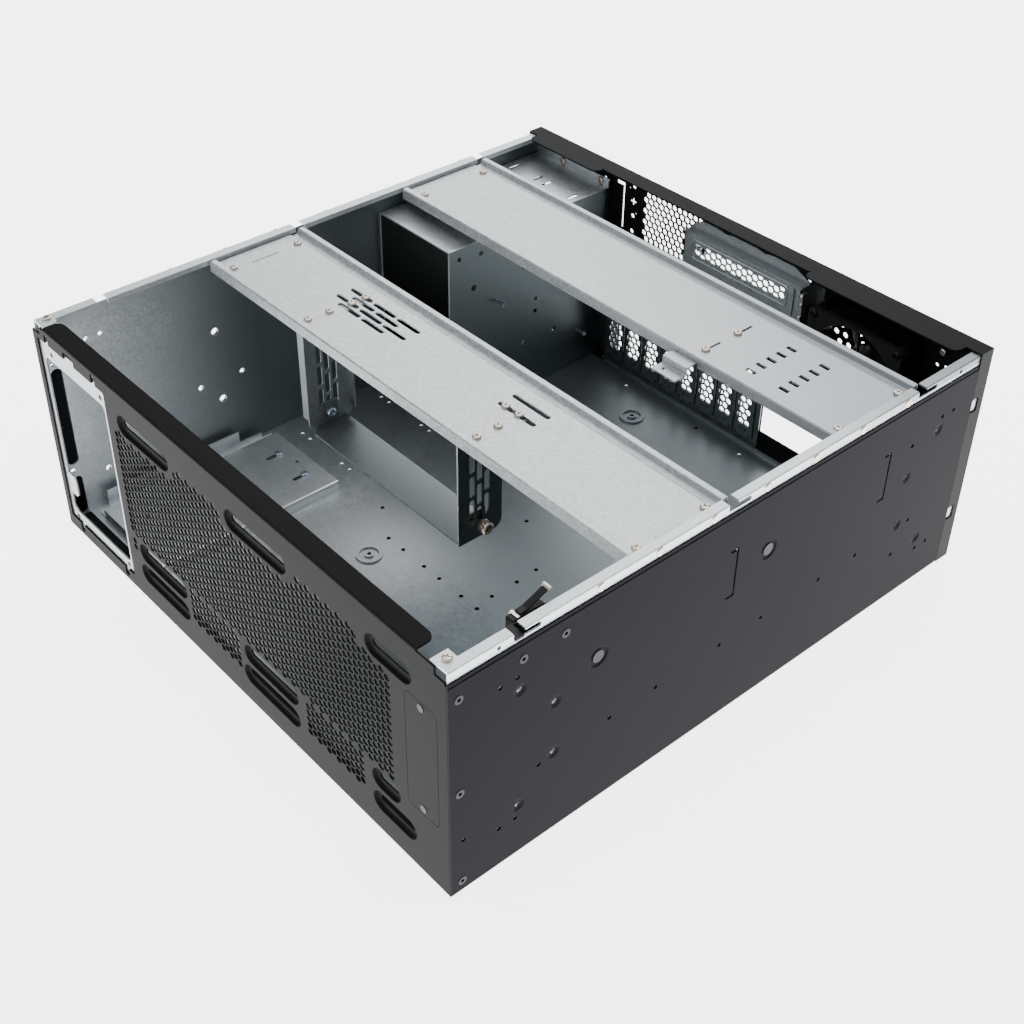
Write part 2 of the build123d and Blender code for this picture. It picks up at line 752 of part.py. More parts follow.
# Power supply cage
cage_left = lay_gap * 2 - wall_in
cage_right = cage_left + 84.4
cage_top = 156
cage_near = depth - 170
cage_far = depth - 5
cage_foot = 10
cage_ear = cage_right + 14.6
cage_holes = (
    (10, 146.5, 2), (31, 144.5, 2), (24, 117, 2.5), (75, 117, 2.5), (88, 83, 2),
    (88, 71.5, 2), (76, 46.5, 2), (109, 46.5, 2),
)
cage_pins = ((cage_near + 47, 97), (cage_near + 136, 34))
cage_pin_r = 2.2
cage_pin_shank = 1.5
cage_pin_long = 9
cage_lances = (cage_left + 9, cage_left + 36, cage_left + 47, cage_left + 77)
cage_lance_back = cage_far - 33.5
cage_flange_screws = (cage_left + 32, cage_left + 76)
small_screw_r = 3.0
small_screw_head = 1.8
small_screw_shank = 1.5
small_screw_hole = 1.6
cage_flange_height = 159.5
with BuildPart() as psu_cage:
    run = [
        (cage_left + cage_foot, foot_low), (cage_left, foot_low), (cage_left, cage_top),
        (cage_right, cage_top), (cage_right, foot_low), (cage_right - cage_foot, foot_low),
    ]
    extrude(folded(upright(cage_near), run, side=Side.RIGHT), amount=cage_near - cage_far)
    block(cage_left, cage_right, cage_far - sheet, cage_far, cage_top - sheet, cage_top + 7)
    block(cage_right - sheet, cage_ear, cage_far - sheet, cage_far, 6, 120)
    with BuildSketch(flank(cage_right)):
        for back, z, radius in cage_holes:
            with Locations((cage_near + back, z)):
                Circle(radius)
        with Locations(*cage_pins):
            Circle(cage_pin_shank + lay_gap)
    extrude(amount=-3, mode=Mode.SUBTRACT)
    with BuildSketch(level(cage_top)):
        for x in cage_lances:
            with Locations((x, cage_lance_back)):
                SlotOverall(11, 3, rotation=90)
    extrude(amount=-3, mode=Mode.SUBTRACT)
    with BuildSketch(upright(cage_far)):
        with Locations(*[(x, cage_flange_height) for x in cage_flange_screws]):
            Circle(small_screw_hole)
    extrude(amount=3, mode=Mode.SUBTRACT)
psu_cage.part.label = "psu_cage"
export_step(psu_cage.part, "parts/psu_cage.step")

with BuildPart() as psu_cage_pins:
    with BuildSketch(flank(cage_right)):
        with Locations(*cage_pins):
            Circle(cage_pin_r)
    extrude(amount=cage_pin_long)
    with BuildSketch(flank(cage_right)):
        with Locations(*cage_pins):
            Circle(cage_pin_shank)
    extrude(amount=-sheet)
psu_cage_pins.part.label = "psu_cage_pins"
export_step(psu_cage_pins.part, "parts/psu_cage_pins.step")

with BuildPart() as psu_screws:
    with BuildSketch(upright(cage_far - sheet)):
        with Locations(*[(x, cage_flange_height) for x in cage_flange_screws]):
            Circle(small_screw_r)
    extrude(amount=small_screw_head)
    with BuildSketch(upright(cage_far - sheet)):
        with Locations(*[(x, cage_flange_height) for x in cage_flange_screws]):
            Circle(small_screw_shank)
    extrude(amount=-(rear_in - cage_far + sheet))
psu_screws.part.label = "psu_screws"
export_step(psu_screws.part, "parts/psu_screws.step")

# Recessed pan of the rear with the card slots and the connector opening
pan_left = -118
pan_right = half - 6
pan_step = 51.5
pan_high = 133
pan_low = 76
slot_pitch = 20.3
slot_count = 8
first_slot = -104.65
slot_centres = [first_slot + slot_pitch * i for i in range(slot_count)]
slot_window = 15
window_low = 20.5
window_high = 126
io_wide = 158.75
io_left = pan_right - 4.25 - io_wide
io_low = 22.5
io_tall = 44.45


def pan_outline(inset):
    """Stepped outline of the pan, moved in from its edges."""
    Polygon(
        (pan_left + inset, floor_low + inset), (pan_right - inset, floor_low + inset),
        (pan_right - inset, pan_low - inset), (pan_step - inset, pan_low - inset),
        (pan_step - inset, pan_high - inset), (pan_left + inset, pan_high - inset), align=None,
    )


with BuildPart() as io_pan:
    with BuildSketch(upright(pan_near)):
        pan_outline(0)
    extrude(amount=pan_near - rear_in + lay_gap)
    with BuildSketch(upright(pan_near + sheet)):
        pan_outline(sheet)
    extrude(amount=pan_near - depth, mode=Mode.SUBTRACT)
    with BuildSketch(upright(pan_near)):
        with Locations(*[(x, (window_low + window_high) / 2) for x in slot_centres]):
            Rectangle(slot_window, window_high - window_low)
        with Locations((io_left + io_wide / 2, io_low + io_tall / 2)):
            Rectangle(io_wide, io_tall)
    extrude(amount=-3, mode=Mode.SUBTRACT)
io_pan.part.label = "io_pan"
export_step(io_pan.part, "parts/io_pan.step")

# Frame of the card slots and its covers
slot_frame_near = pan_near - lay_gap - sheet
slot_frame_low = 8
slot_frame_high = 134
slot_hem = 3
slot_hem_top = 9.2
slot_frame_open = (slot_centres[0] - slot_pitch / 2 + 1, slot_centres[-1] + slot_pitch / 2 - 1, 20, 128)
cover_near = slot_frame_near - lay_gap - sheet
cover_wide = slot_pitch - 2
cover_low = 12.2
cover_high = 133
cover_tab = 11
cover_slit = (2, 5)
cover_slit_offset = 6.5
cover_holes = (2, 10)
cover_hole_pitch = (7.6, 10.2)
cover_hole_bar = 1.6
with BuildPart() as slot_frame:
    with BuildSketch(upright(slot_frame_near)):
        with Locations(((pan_left + pan_step) / 2, (slot_frame_low + slot_frame_high) / 2)):
            Rectangle(pan_step - pan_left, slot_frame_high - slot_frame_low)
        window(slot_frame_open, 1, Mode.SUBTRACT)
    extrude(amount=-sheet)
    block(pan_left, pan_step, slot_frame_near - slot_hem, slot_frame_near, slot_frame_low, slot_hem_top)
slot_frame.part.label = "slot_frame"
export_step(slot_frame.part, "parts/slot_frame.step")

for number, centre in enumerate(slot_centres, start=1):
    with BuildPart() as slot_cover:
        with BuildSketch(upright(cover_near)):
            with Locations((centre, (cover_low + cover_high) / 2)):
                Rectangle(cover_wide, cover_high - cover_low)
            for side_x in (centre - cover_slit_offset, centre + cover_slit_offset):
                with Locations((side_x, cover_low)):
                    Rectangle(*cover_slit, mode=Mode.SUBTRACT)
            with Locations((centre, (window_low + window_high) / 2)):
                with GridLocations(*cover_hole_pitch, *cover_holes):
                    Rectangle(
                        cover_hole_pitch[0] - cover_hole_bar, cover_hole_pitch[1] - cover_hole_bar,
                        mode=Mode.SUBTRACT,
                    )
        extrude(amount=-sheet)
        block(centre - cover_wide / 2, centre + cover_wide / 2, cover_near - cover_tab,
              cover_near, cover_high - sheet, cover_high)
    slot_cover.part.label = f"slot_cover_{number}"
    export_step(slot_cover.part, f"parts/slot_cover_{number}.step")

# Rear panel: face, side and bottom returns, and the flange over the rails
rear_flange = (10 - half, half - 13, rear_flange_near, rear_return)
rear_flange_corner = 6
psu_window = (7 - half, cage_right - 5, 10, 150)
side_gap = (cage_right + 4.5, cage_right + 13.5, 124, 163.5)
panel_hole_x = -109.5
panel_holes = (164, 151, 138.5)
panel_hole_r = 2
vent = (-99, -41, 137.5, 168)
vent_holes = (6, 3)
vent_bar = 2
notch_places = ((depth - 9, 134), (depth - 9, 43))
notch_size = (7, 11)
stud_screw = (185, 156)
pin_holes = ((182, 144), (189, 145))
grille_rings = ((0.1, 1), (10.6, 6), (21.2, 12), (31.8, 18))
grille_hole_r = 4.6
fan_middle = (half - 90.3, 118)
fan_size = 80
fan_deep = 25
fan_pitch = 71.5
fan_hole_r = 2.15
riser_left = -37
riser_right = 77
riser_low = 135
riser_high = 163


with BuildPart() as rear_panel:
    block(-half, half, rear_return, depth, 0, rear_top)
    block(-skin_in, skin_in, rear_return - 1, rear_in, sheet, rear_top - sheet, Mode.SUBTRACT)
    round_ended(rear_flange, rear_top - sheet, rear_flange_corner, 0)
    with BuildSketch(upright(rear_in - 1)) as back_cuts:
        pan_outline(sheet)
        window(psu_window, 3)
        window(side_gap, 4)
        with Locations(*[(panel_hole_x, z) for z in panel_holes]):
            Circle(panel_hole_r)
        across = (vent[1] - vent[0]) / vent_holes[0]
        up = (vent[3] - vent[2]) / vent_holes[1]
        with Locations(((vent[0] + vent[1]) / 2, (vent[2] + vent[3]) / 2)):
            with GridLocations(across, up, *vent_holes):
                Rectangle(across - vent_bar, up - vent_bar)
        window((riser_left + 5, riser_right - 7, riser_low + 3, riser_high - 4), 1)
        with Locations(fan_middle):
            with GridLocations(fan_pitch, fan_pitch, 2, 2):
                Circle(fan_hole_r)
            for ring_r, count in grille_rings:
                with PolarLocations(ring_r, count):
                    RegularPolygon(grille_hole_r, 6)
        with Locations(*pin_holes):
            Circle(small_screw_shank)
        with Locations(stud_screw):
            Circle(small_screw_hole)
        with Locations(*[(x, cage_flange_height) for x in cage_flange_screws]):
            Circle(small_screw_hole)
    extrude(amount=-5, mode=Mode.SUBTRACT)
    with BuildSketch(flank(0)) as tab_notches:
        with Locations(*notch_places):
            RectangleRounded(*notch_size, 1.5)
    extrude(amount=half + 1, both=True, mode=Mode.SUBTRACT)
rear_panel.part.label = "rear_panel"
export_step(rear_panel.part, "parts/rear_panel.step")

with BuildPart() as rear_screw:
    with BuildSketch(upright(rear_in)):
        with Locations(stud_screw):
            Circle(small_screw_r)
    extrude(amount=small_screw_head)
    with BuildSketch(upright(rear_in)):
        with Locations(stud_screw):
            Circle(small_screw_shank)
    extrude(amount=-sheet)
rear_screw.part.label = "rear_screw"
export_step(rear_screw.part, "parts/rear_screw.step")

# Bracket for cards that lie level, above the slots
riser_near = depth - 20
wave_back = depth - 12
wave_top = 170
wave_notch = (14, 10)
wave_dip_r = 5
riser_tab = 7
riser_window = (riser_left + 13, riser_right - 16, riser_low + 12, riser_high - 6)
with BuildPart() as riser_bracket:
    with BuildSketch(flank(riser_left)) as section:
        with BuildLine():
            FilletPolyline(
                (wave_back, wave_top), (wave_back, riser_high), (riser_near, riser_high),
                (riser_near, riser_low), (rear_in - lay_gap, riser_low), radius=1.5,
            )
            offset(amount=sheet, side=Side.LEFT)
        make_face()
    extrude(amount=riser_right - riser_left)
    for x in (riser_left, riser_right - sheet):
        block(x, x + sheet, riser_near + sheet, rear_in - lay_gap, riser_low + sheet, riser_high)
    block(riser_right - sheet, riser_right + riser_tab, rear_in - lay_gap - sheet, rear_in - lay_gap,
          riser_low + 8, riser_high - 4)
    with BuildSketch(upright(riser_near)):
        window(riser_window, 1)
    extrude(amount=-3, mode=Mode.SUBTRACT)
    with BuildSketch(upright(wave_back - 1)):
        for x in (riser_left + 6, riser_right - 7.5):
            with Locations((x, wave_top)):
                Rectangle(*wave_notch)
        with Locations((riser_left + 40, wave_top + 2), (riser_left + 78, wave_top + 2)):
            Circle(wave_dip_r)
    extrude(amount=-4, mode=Mode.SUBTRACT)
riser_bracket.part.label = "riser_bracket"
export_step(riser_bracket.part, "parts/riser_bracket.step")

riser_cover_near = riser_near - lay_gap - sheet
riser_holes = (14, 2)
riser_hole_pitch = (6, 4.9)
riser_hole_r = 2.5
with BuildPart() as riser_cover:
    with BuildSketch(upright(riser_cover_near)) as cover_face:
        window((riser_left + 5, riser_right - 6, riser_low + 4, riser_high - 2), 3)
        with BuildSketch(mode=Mode.SUBTRACT):
            with Locations((sum(riser_window[:2]) / 2, sum(riser_window[2:]) / 2)):
                with GridLocations(*riser_hole_pitch, *riser_holes):
                    RegularPolygon(riser_hole_r, 6)
    extrude(amount=-sheet)
riser_cover.part.label = "riser_cover"
export_step(riser_cover.part, "parts/riser_cover.step")

# Stay for long cards, stepped down from the rear brace
stay_back = rear_brace_back - 10
stay_step = 164.2
stay_nose = 10
stay_top = seat_top
with BuildPart() as card_stay:
    with BuildSketch(flank(stay_left)):
        with BuildLine():
            FilletPolyline(
                (stay_back + 60, stay_top), (stay_back, stay_top), (stay_back, stay_step),
                (stay_back - stay_nose, stay_step), radius=0.6,
            )
            offset(amount=sheet, side=Side.LEFT)
        make_face()
    extrude(amount=stay_wide)
    with BuildSketch(level(stay_top)):
        with Locations(*rear_brace_screws):
            Circle(brace_screw_hole)
        with Locations((stay_left + 6, stay_back - stay_nose / 2)):
            Circle(small_screw_hole)
    extrude(amount=-9, mode=Mode.SUBTRACT)
card_stay.part.label = "card_stay"
export_step(card_stay.part, "parts/card_stay.step")

# Rear fan
fan_far = rear_in - lay_gap
fan_near = fan_far - fan_deep
bore_r = 38
hub_r = 16
blade_count = 7
blade_gap = 0.8
strut_wide = 4
fan_flange = 4
fan_screw_r = 3.4
fan_screw_head = 1.6
with BuildPart() as fan_frame:
    with BuildSketch(upright(fan_near)):
        with Locations(fan_middle):
            RectangleRounded(fan_size, fan_size, 4)
            Circle(bore_r, mode=Mode.SUBTRACT)
    extrude(amount=-fan_deep)
    with BuildSketch(upright(fan_near + fan_flange)):
        with Locations(fan_middle):
            RectangleRounded(fan_size + 2, fan_size + 2, 4)
            Circle(bore_r + 1.2, mode=Mode.SUBTRACT)
            with GridLocations(fan_pitch, fan_pitch, 2, 2):
                Circle(4.2, mode=Mode.SUBTRACT)
    extrude(amount=2 * fan_flange - fan_deep, mode=Mode.SUBTRACT)
    with BuildSketch(upright(fan_far)):
        with Locations(fan_middle):
            Circle(hub_r)
            for turn in (45, 135):
                Rectangle(2 * bore_r + 1, strut_wide, rotation=turn)
    extrude(amount=2)
    with BuildSketch(upright(fan_near)):
        with Locations(fan_middle):
            with GridLocations(fan_pitch, fan_pitch, 2, 2):
                Circle(fan_hole_r)
    extrude(amount=-fan_deep, mode=Mode.SUBTRACT)
fan_frame.part.label = "fan_frame"
export_step(fan_frame.part, "parts/fan_frame.step")

blade_near = fan_near + 2.5
blade_deep = fan_deep - 2 - 2.5 - 1.5
with BuildPart() as fan_rotor:
    with BuildSketch(upright(blade_near)):
        with Locations(fan_middle):
            Circle(hub_r)
    extrude(amount=-blade_deep)
    for turn in range(blade_count):
        angle = 2 * math.pi * turn / blade_count
        root = Plane(
            origin=(
                fan_middle[0] + (hub_r - 1.5) * math.cos(angle),
                blade_near + blade_deep / 2 - depth / 2,
                fan_middle[1] + (hub_r - 1.5) * math.sin(angle),
            ),
            x_dir=(0, 1, 0),
            z_dir=(math.cos(angle), 0, math.sin(angle)),
        )
        with BuildSketch(root) as root_section:
            Rectangle(blade_deep * 0.8, 1.6, rotation=40)
        with BuildSketch(root.offset(bore_r - hub_r + 1.5)) as tip_section:
            Rectangle(blade_deep * 1.05, 1.2, rotation=58)
        loft([root_section.sketch.face(), tip_section.sketch.face()])
    with BuildSketch(upright(fan_near)) as swept_disc:
        with Locations(fan_middle):
            Circle(bore_r - blade_gap)
    extrude(swept_disc.sketch, amount=-fan_deep, mode=Mode.INTERSECT)
fan_rotor.part.label = "fan_rotor"
export_step(fan_rotor.part, "parts/fan_rotor.step")

with BuildPart() as fan_screws:
    with BuildSketch(upright(fan_near)):
        with Locations(fan_middle):
            with GridLocations(fan_pitch, fan_pitch, 2, 2):
                Circle(fan_screw_r)
    extrude(amount=fan_screw_head)
    with BuildSketch(upright(fan_near)):
        with Locations(fan_middle):
            with GridLocations(fan_pitch, fan_pitch, 2, 2):
                Circle(fan_hole_r - lay_gap)
    extrude(amount=-fan_flange)
fan_screws.part.label = "fan_screws"
export_step(fan_screws.part, "parts/fan_screws.step")

# Tray for a drive, at the front left of the floor
tray_left = 8 - half
tray_ridge = tray_left + 9
tray_right = tray_left + 90
tray_near = 20
tray_far = 171
tray_top = 10
tray_hook_top = 19
tray_slots = ((tray_left + 34, 152), (tray_left + 68, 152))
tray_slot = (14, 3.4)
tray_holes = (
    (tray_left + 51, 160.8), (tray_left + 35, 40), (tray_left + 68, 40), (tray_left + 51, 95),
)
tray_screw_places = ((tray_left + 34, 156), (tray_left + 68, 156))
with BuildPart() as drive_tray:
    run = [
        (tray_left, tray_hook_top), (tray_left, foot_low), (tray_ridge, foot_low),
        (tray_ridge, tray_top - sheet),
        (tray_right, tray_top - sheet), (tray_right, foot_low),
    ]
    extrude(folded(upright(tray_near), run, bend=0.8), amount=tray_near - tray_far)
    block(tray_left - 1, tray_ridge - 2, tray_near - 1, 28, foot_low + 2, 20, Mode.SUBTRACT)
    block(tray_left - 1, tray_ridge - 2, 142, 163, 9, 20, Mode.SUBTRACT)
    block(tray_left - 1, tray_ridge - 2, 162, tray_far + 1, foot_low + 2, 20, Mode.SUBTRACT)
    with BuildSketch(level(tray_top)):
        with Locations(*tray_slots):
            SlotOverall(*tray_slot, rotation=90)
        with Locations(*tray_holes):
            Circle(small_screw_hole)
    extrude(amount=-3, mode=Mode.SUBTRACT)
drive_tray.part.label = "drive_tray"
export_step(drive_tray.part, "parts/drive_tray.step")

with BuildPart() as tray_screws:
    with BuildSketch(level(tray_top)):
        with Locations(*tray_screw_places):
            Circle(small_screw_r)
    extrude(amount=small_screw_head)
    with BuildSketch(level(tray_top)):
        with Locations(*tray_screw_places):
            Circle(small_screw_shank)
    extrude(amount=-2 * sheet)
tray_screws.part.label = "tray_screws"
export_step(tray_screws.part, "parts/tray_screws.step")

# Corner screws of the rails
with BuildPart() as corner_screws:
    with BuildSketch(level(rail_top)):
        with Locations((half - 10, 8), (7 - half, 9)):
            Circle(small_screw_r)
    extrude(amount=small_screw_head)
corner_screws.part.label = "corner_screws"
export_step(corner_screws.part, "parts/corner_screws.step")

# Switch that feels whether the cover is on
switch_left = half - 17
switch_right = half - 11.6
switch_near = 53
switch_far = 76
switch_low = 155
switch_top = 171
strap_low = notch_low + lay_gap
lever_thick = 1.0
lever_line = ((59, 171.7), (64, 172), (78, 177.4))
lever_wide = 4.2
bracket_sheet = 1.2
strip_thick = 0.6
strip_backs = (56.4, 58.6)
roller_r = 1.5
roller_long = 5.5
with BuildPart() as switch_body:
    block(switch_left, switch_right, switch_near, switch_far, switch_low, switch_top)
    fillet(switch_body.edges().filter_by(Axis.X), radius=1)
switch_body.part.label = "switch_body"
export_step(switch_body.part, "parts/switch_body.step")

with BuildPart() as switch_bracket:
    plate_x = switch_right + lay_gap
    strap_top = strap_low + bracket_sheet
    block(plate_x, plate_x + bracket_sheet, 46, 78, switch_low - 3, strap_top)
    block(plate_x, wall_out + 0.6, 46, 52, strap_low, strap_top)
switch_bracket.part.label = "switch_bracket"
export_step(switch_bracket.part, "parts/switch_bracket.step")

with BuildPart() as switch_strip:
    strip_top = switch_top + strip_thick
    block(switch_left - 2 * strip_thick, switch_right, *strip_backs, switch_top, strip_top)
    block(switch_left - 2 * strip_thick, switch_left - strip_thick / 2, *strip_backs,
          switch_top - 5, strip_top)
switch_strip.part.label = "switch_strip"
export_step(switch_strip.part, "parts/switch_strip.step")

with BuildPart() as switch_lever:
    with BuildSketch(flank(switch_left + 0.6)):
        with BuildLine():
            FilletPolyline(*lever_line, radius=4)
            offset(amount=lever_thick, side=Side.LEFT)
        make_face()
    extrude(amount=lever_wide)
switch_lever.part.label = "switch_lever"
export_step(switch_lever.part, "parts/switch_lever.step")

with BuildPart() as switch_roller:
    with BuildSketch(flank(switch_left)):
        with Locations((79.4, 178.4)):
            Circle(roller_r)
    extrude(amount=roller_long)
switch_roller.part.label = "switch_roller"
export_step(switch_roller.part, "parts/switch_roller.step")
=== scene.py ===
import bmesh
import bpy
import numpy as np
from mathutils import Matrix, Vector
from mathutils.geometry import delaunay_2d_cdt


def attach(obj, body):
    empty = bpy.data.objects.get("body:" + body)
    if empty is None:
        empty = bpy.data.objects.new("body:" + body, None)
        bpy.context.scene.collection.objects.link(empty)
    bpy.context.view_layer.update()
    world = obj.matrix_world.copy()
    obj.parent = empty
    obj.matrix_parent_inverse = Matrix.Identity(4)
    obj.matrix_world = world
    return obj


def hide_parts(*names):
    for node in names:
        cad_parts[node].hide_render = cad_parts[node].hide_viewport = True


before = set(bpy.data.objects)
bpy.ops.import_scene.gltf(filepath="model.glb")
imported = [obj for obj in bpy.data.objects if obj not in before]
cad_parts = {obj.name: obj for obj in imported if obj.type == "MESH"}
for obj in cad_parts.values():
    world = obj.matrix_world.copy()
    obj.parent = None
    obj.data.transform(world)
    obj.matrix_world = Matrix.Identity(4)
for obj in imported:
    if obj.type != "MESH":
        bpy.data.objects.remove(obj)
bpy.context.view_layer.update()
mm = 0.001
frontY = -0.230  # the front face; distances back are measured from it


# Shader maths


class Value:
    # wraps a socket so that sums and products on it add their own Math nodes
    def __init__(self, finish, socket):
        self.finish = finish
        self.socket = socket

    def join(self, operation, first, second):
        return self.finish.node("Math", {"operation": operation}, {0: first, 1: second})

    def __add__(self, other):
        return self.join("ADD", self, other)

    def __radd__(self, other):
        return self.join("ADD", other, self)

    def __sub__(self, other):
        return self.join("SUBTRACT", self, other)

    def __rsub__(self, other):
        return self.join("SUBTRACT", other, self)

    def __mul__(self, other):
        return self.join("MULTIPLY", self, other)

    def __rmul__(self, other):
        return self.join("MULTIPLY", other, self)

    def above(self, limit):
        return self.join("GREATER_THAN", self, limit)

    def below(self, limit):
        return self.join("LESS_THAN", self, limit)


class Finish:
    # one material; node() adds any node from its type, settings and inputs
    def __init__(self, name, roughness, metallic, specular=0.5):
        self.material = bpy.data.materials.new(name)
        self.material.use_nodes = True
        self.tree = self.material.node_tree
        self.shader = self.tree.nodes["Principled BSDF"]
        self.shader.inputs["Roughness"].default_value = roughness
        self.shader.inputs["Metallic"].default_value = metallic
        self.shader.inputs["Specular IOR Level"].default_value = specular
        self.place = self.node("TexCoord", {}, {}, "Object")

    def node(self, kind, settings, inputs, output=0):
        made = self.tree.nodes.new("ShaderNode" + kind)
        for key, value in settings.items():
            setattr(made, key, value)
        for key, value in inputs.items():
            if isinstance(value, Value):
                self.tree.links.new(value.socket, made.inputs[key])
            else:
                made.inputs[key].default_value = value
        return Value(self, made.outputs[output])

    def feed(self, socket, value):
        self.tree.links.new(value.socket, self.shader.inputs[socket])

    def axis(self, name):
        return self.node("SeparateXYZ", {}, {0: self.place}, name)

    def ramp(self, value, start, end):
        settings = {"interpolation_type": "SMOOTHSTEP"}
        return self.node("MapRange", settings, {"Value": value, "From Min": start, "From Max": end})

    def noise(self, scale, detail=2.0, stretch=(1, 1, 1)):
        placed = self.node("Mapping", {}, {"Vector": self.place, "Scale": stretch})
        return self.node("TexNoise", {}, {"Vector": placed, "Scale": scale, "Detail": detail})

    def blendColours(self, factor, low, high):
        low = low if isinstance(low, Value) else (*low, 1)
        high = high if isinstance(high, Value) else (*high, 1)
        return self.node("Mix", {"data_type": "RGBA"}, {0: factor, 6: low, 7: high}, 2)

    def bump(self, height, distance, strength=1.0):
        inputs = {"Height": height, "Distance": distance, "Strength": strength}
        self.feed("Normal", self.node("Bump", {}, inputs, "Normal"))


# Finishes


def galvanisedSteel(name, low, high, spangle=520, rough=0.36, shade=None):
    # crystals of the zinc coat: cells with their own tone and gloss over a fine rolled grain;
    # shade(finish) gives a mask and the painted shade colour that the coat sinks to where the mask is 1
    finish = Finish(name, rough, 0.92)
    cells = finish.node("TexVoronoi", {}, {"Vector": finish.place, "Scale": spangle}, "Color")
    tone = finish.node("SeparateColor", {}, {0: cells})
    cloud = finish.noise(9, 3)
    speck = finish.noise(1700, 3)
    grain = finish.noise(900, 2, (1, 0.12, 1))
    fleck = finish.ramp(speck, 0.36, 0.64)
    mask = tone * 0.30 + cloud * 0.22 + grain * 0.10 + fleck * 0.38
    colour = finish.blendColours(mask, low, high)
    if shade:
        depth, deep = shade(finish)
        colour = finish.blendColours(depth, colour, deep)
    finish.feed("Base Color", colour)
    finish.feed("Roughness", rough + tone * 0.09 + cloud * 0.06)
    finish.bump(grain * 0.4 + tone * 0.3 + speck * 0.3, 0.00002, 0.6)
    return finish.material


def shadeWall(finish):
    # painted shade: the rear part of the inner face below the rail and the far end of the right rail are
    # darkened, the rail less than the face
    rail = finish.axis("Z").above(0.1692)
    inner = finish.axis("Z").below(0.1692) * finish.axis("X").below(0.2184)
    far = finish.ramp(finish.axis("Y"), 0.04, 0.20) * finish.axis("X").above(0.2) * rail
    deep = finish.blendColours(rail, (0.15, 0.175, 0.185), (0.27, 0.30, 0.31))
    return finish.ramp(finish.axis("Y"), -0.19, -0.05) * inner + far, deep


def shadeBrace(finish):
    # painted shade: the brace darkens towards the right end of the rear brace, where the reflected light
    # falls off
    return finish.ramp(finish.axis("X") * 0.6 + finish.axis("Y"), 0.02, 0.30), (0.34, 0.37, 0.385)


def shadeCage(finish):
    # painted shade on the flanks, darker than the lit top, with the cut edge at the mouth left in the lit
    # tone as a painted highlight, and a near-black painted shadow inside
    behind = finish.axis("Y").above(0.0603)
    under = finish.axis("Z").below(0.15535)
    inside = behind * under * finish.axis("X").below(-0.13385)
    return behind * under, finish.blendColours(inside, (0.155, 0.185, 0.195), (0.012, 0.016, 0.018))


def shadeFloor(finish):
    # painted shade: the floor darkens towards the rear and the right, where the bay is deep
    rear = finish.ramp(finish.axis("Y"), -0.09, 0.03)
    right = finish.ramp(finish.axis("X"), -0.12, 0.06)
    deep = finish.blendColours(rear, (0.11, 0.13, 0.14), (0.33, 0.37, 0.39))
    return 1.0 - (1.0 - rear) * (1.0 - right), deep


def shadeHanger(finish):
    # painted shade on the web, with the cut edge left in the lit tone as a painted highlight
    return finish.axis("Y").above(-0.0953), (0.10, 0.12, 0.13)


def powderPaint(name, low, high, grain=2600, depth=0.00006, rough=0.42, specular=0.12):
    # fine orange peel of a sprayed powder coat with slow changes of tone
    finish = Finish(name, rough, 0.0, specular)
    peel = finish.noise(grain, 2)
    cloud = finish.noise(14, 2)
    finish.feed("Base Color", finish.blendColours(peel * 0.7 + cloud * 0.3, low, high))
    finish.feed("Roughness", rough + peel * 0.1 + cloud * 0.04)
    finish.bump(peel, depth, 0.5)
    return finish.material


def platedSteel(name, low, high, rough):
    # bright plated fastener with faint turning marks
    finish = Finish(name, rough, 1.0)
    marks = finish.noise(1800, 2)
    finish.feed("Base Color", finish.blendColours(marks, low, high))
    finish.feed("Roughness", rough + marks * 0.12)
    finish.bump(marks, 0.00002, 0.4)
    return finish.material


def mouldedPlastic(name, low, high, rough, specular=0.2):
    # spark eroded texture of moulded black plastic
    finish = Finish(name, rough, 0.0, specular)
    grain = finish.noise(3200, 2)
    finish.feed("Base Color", finish.blendColours(grain, low, high))
    finish.feed("Roughness", rough + grain * 0.12)
    finish.bump(grain, 0.00003, 0.4)
    return finish.material


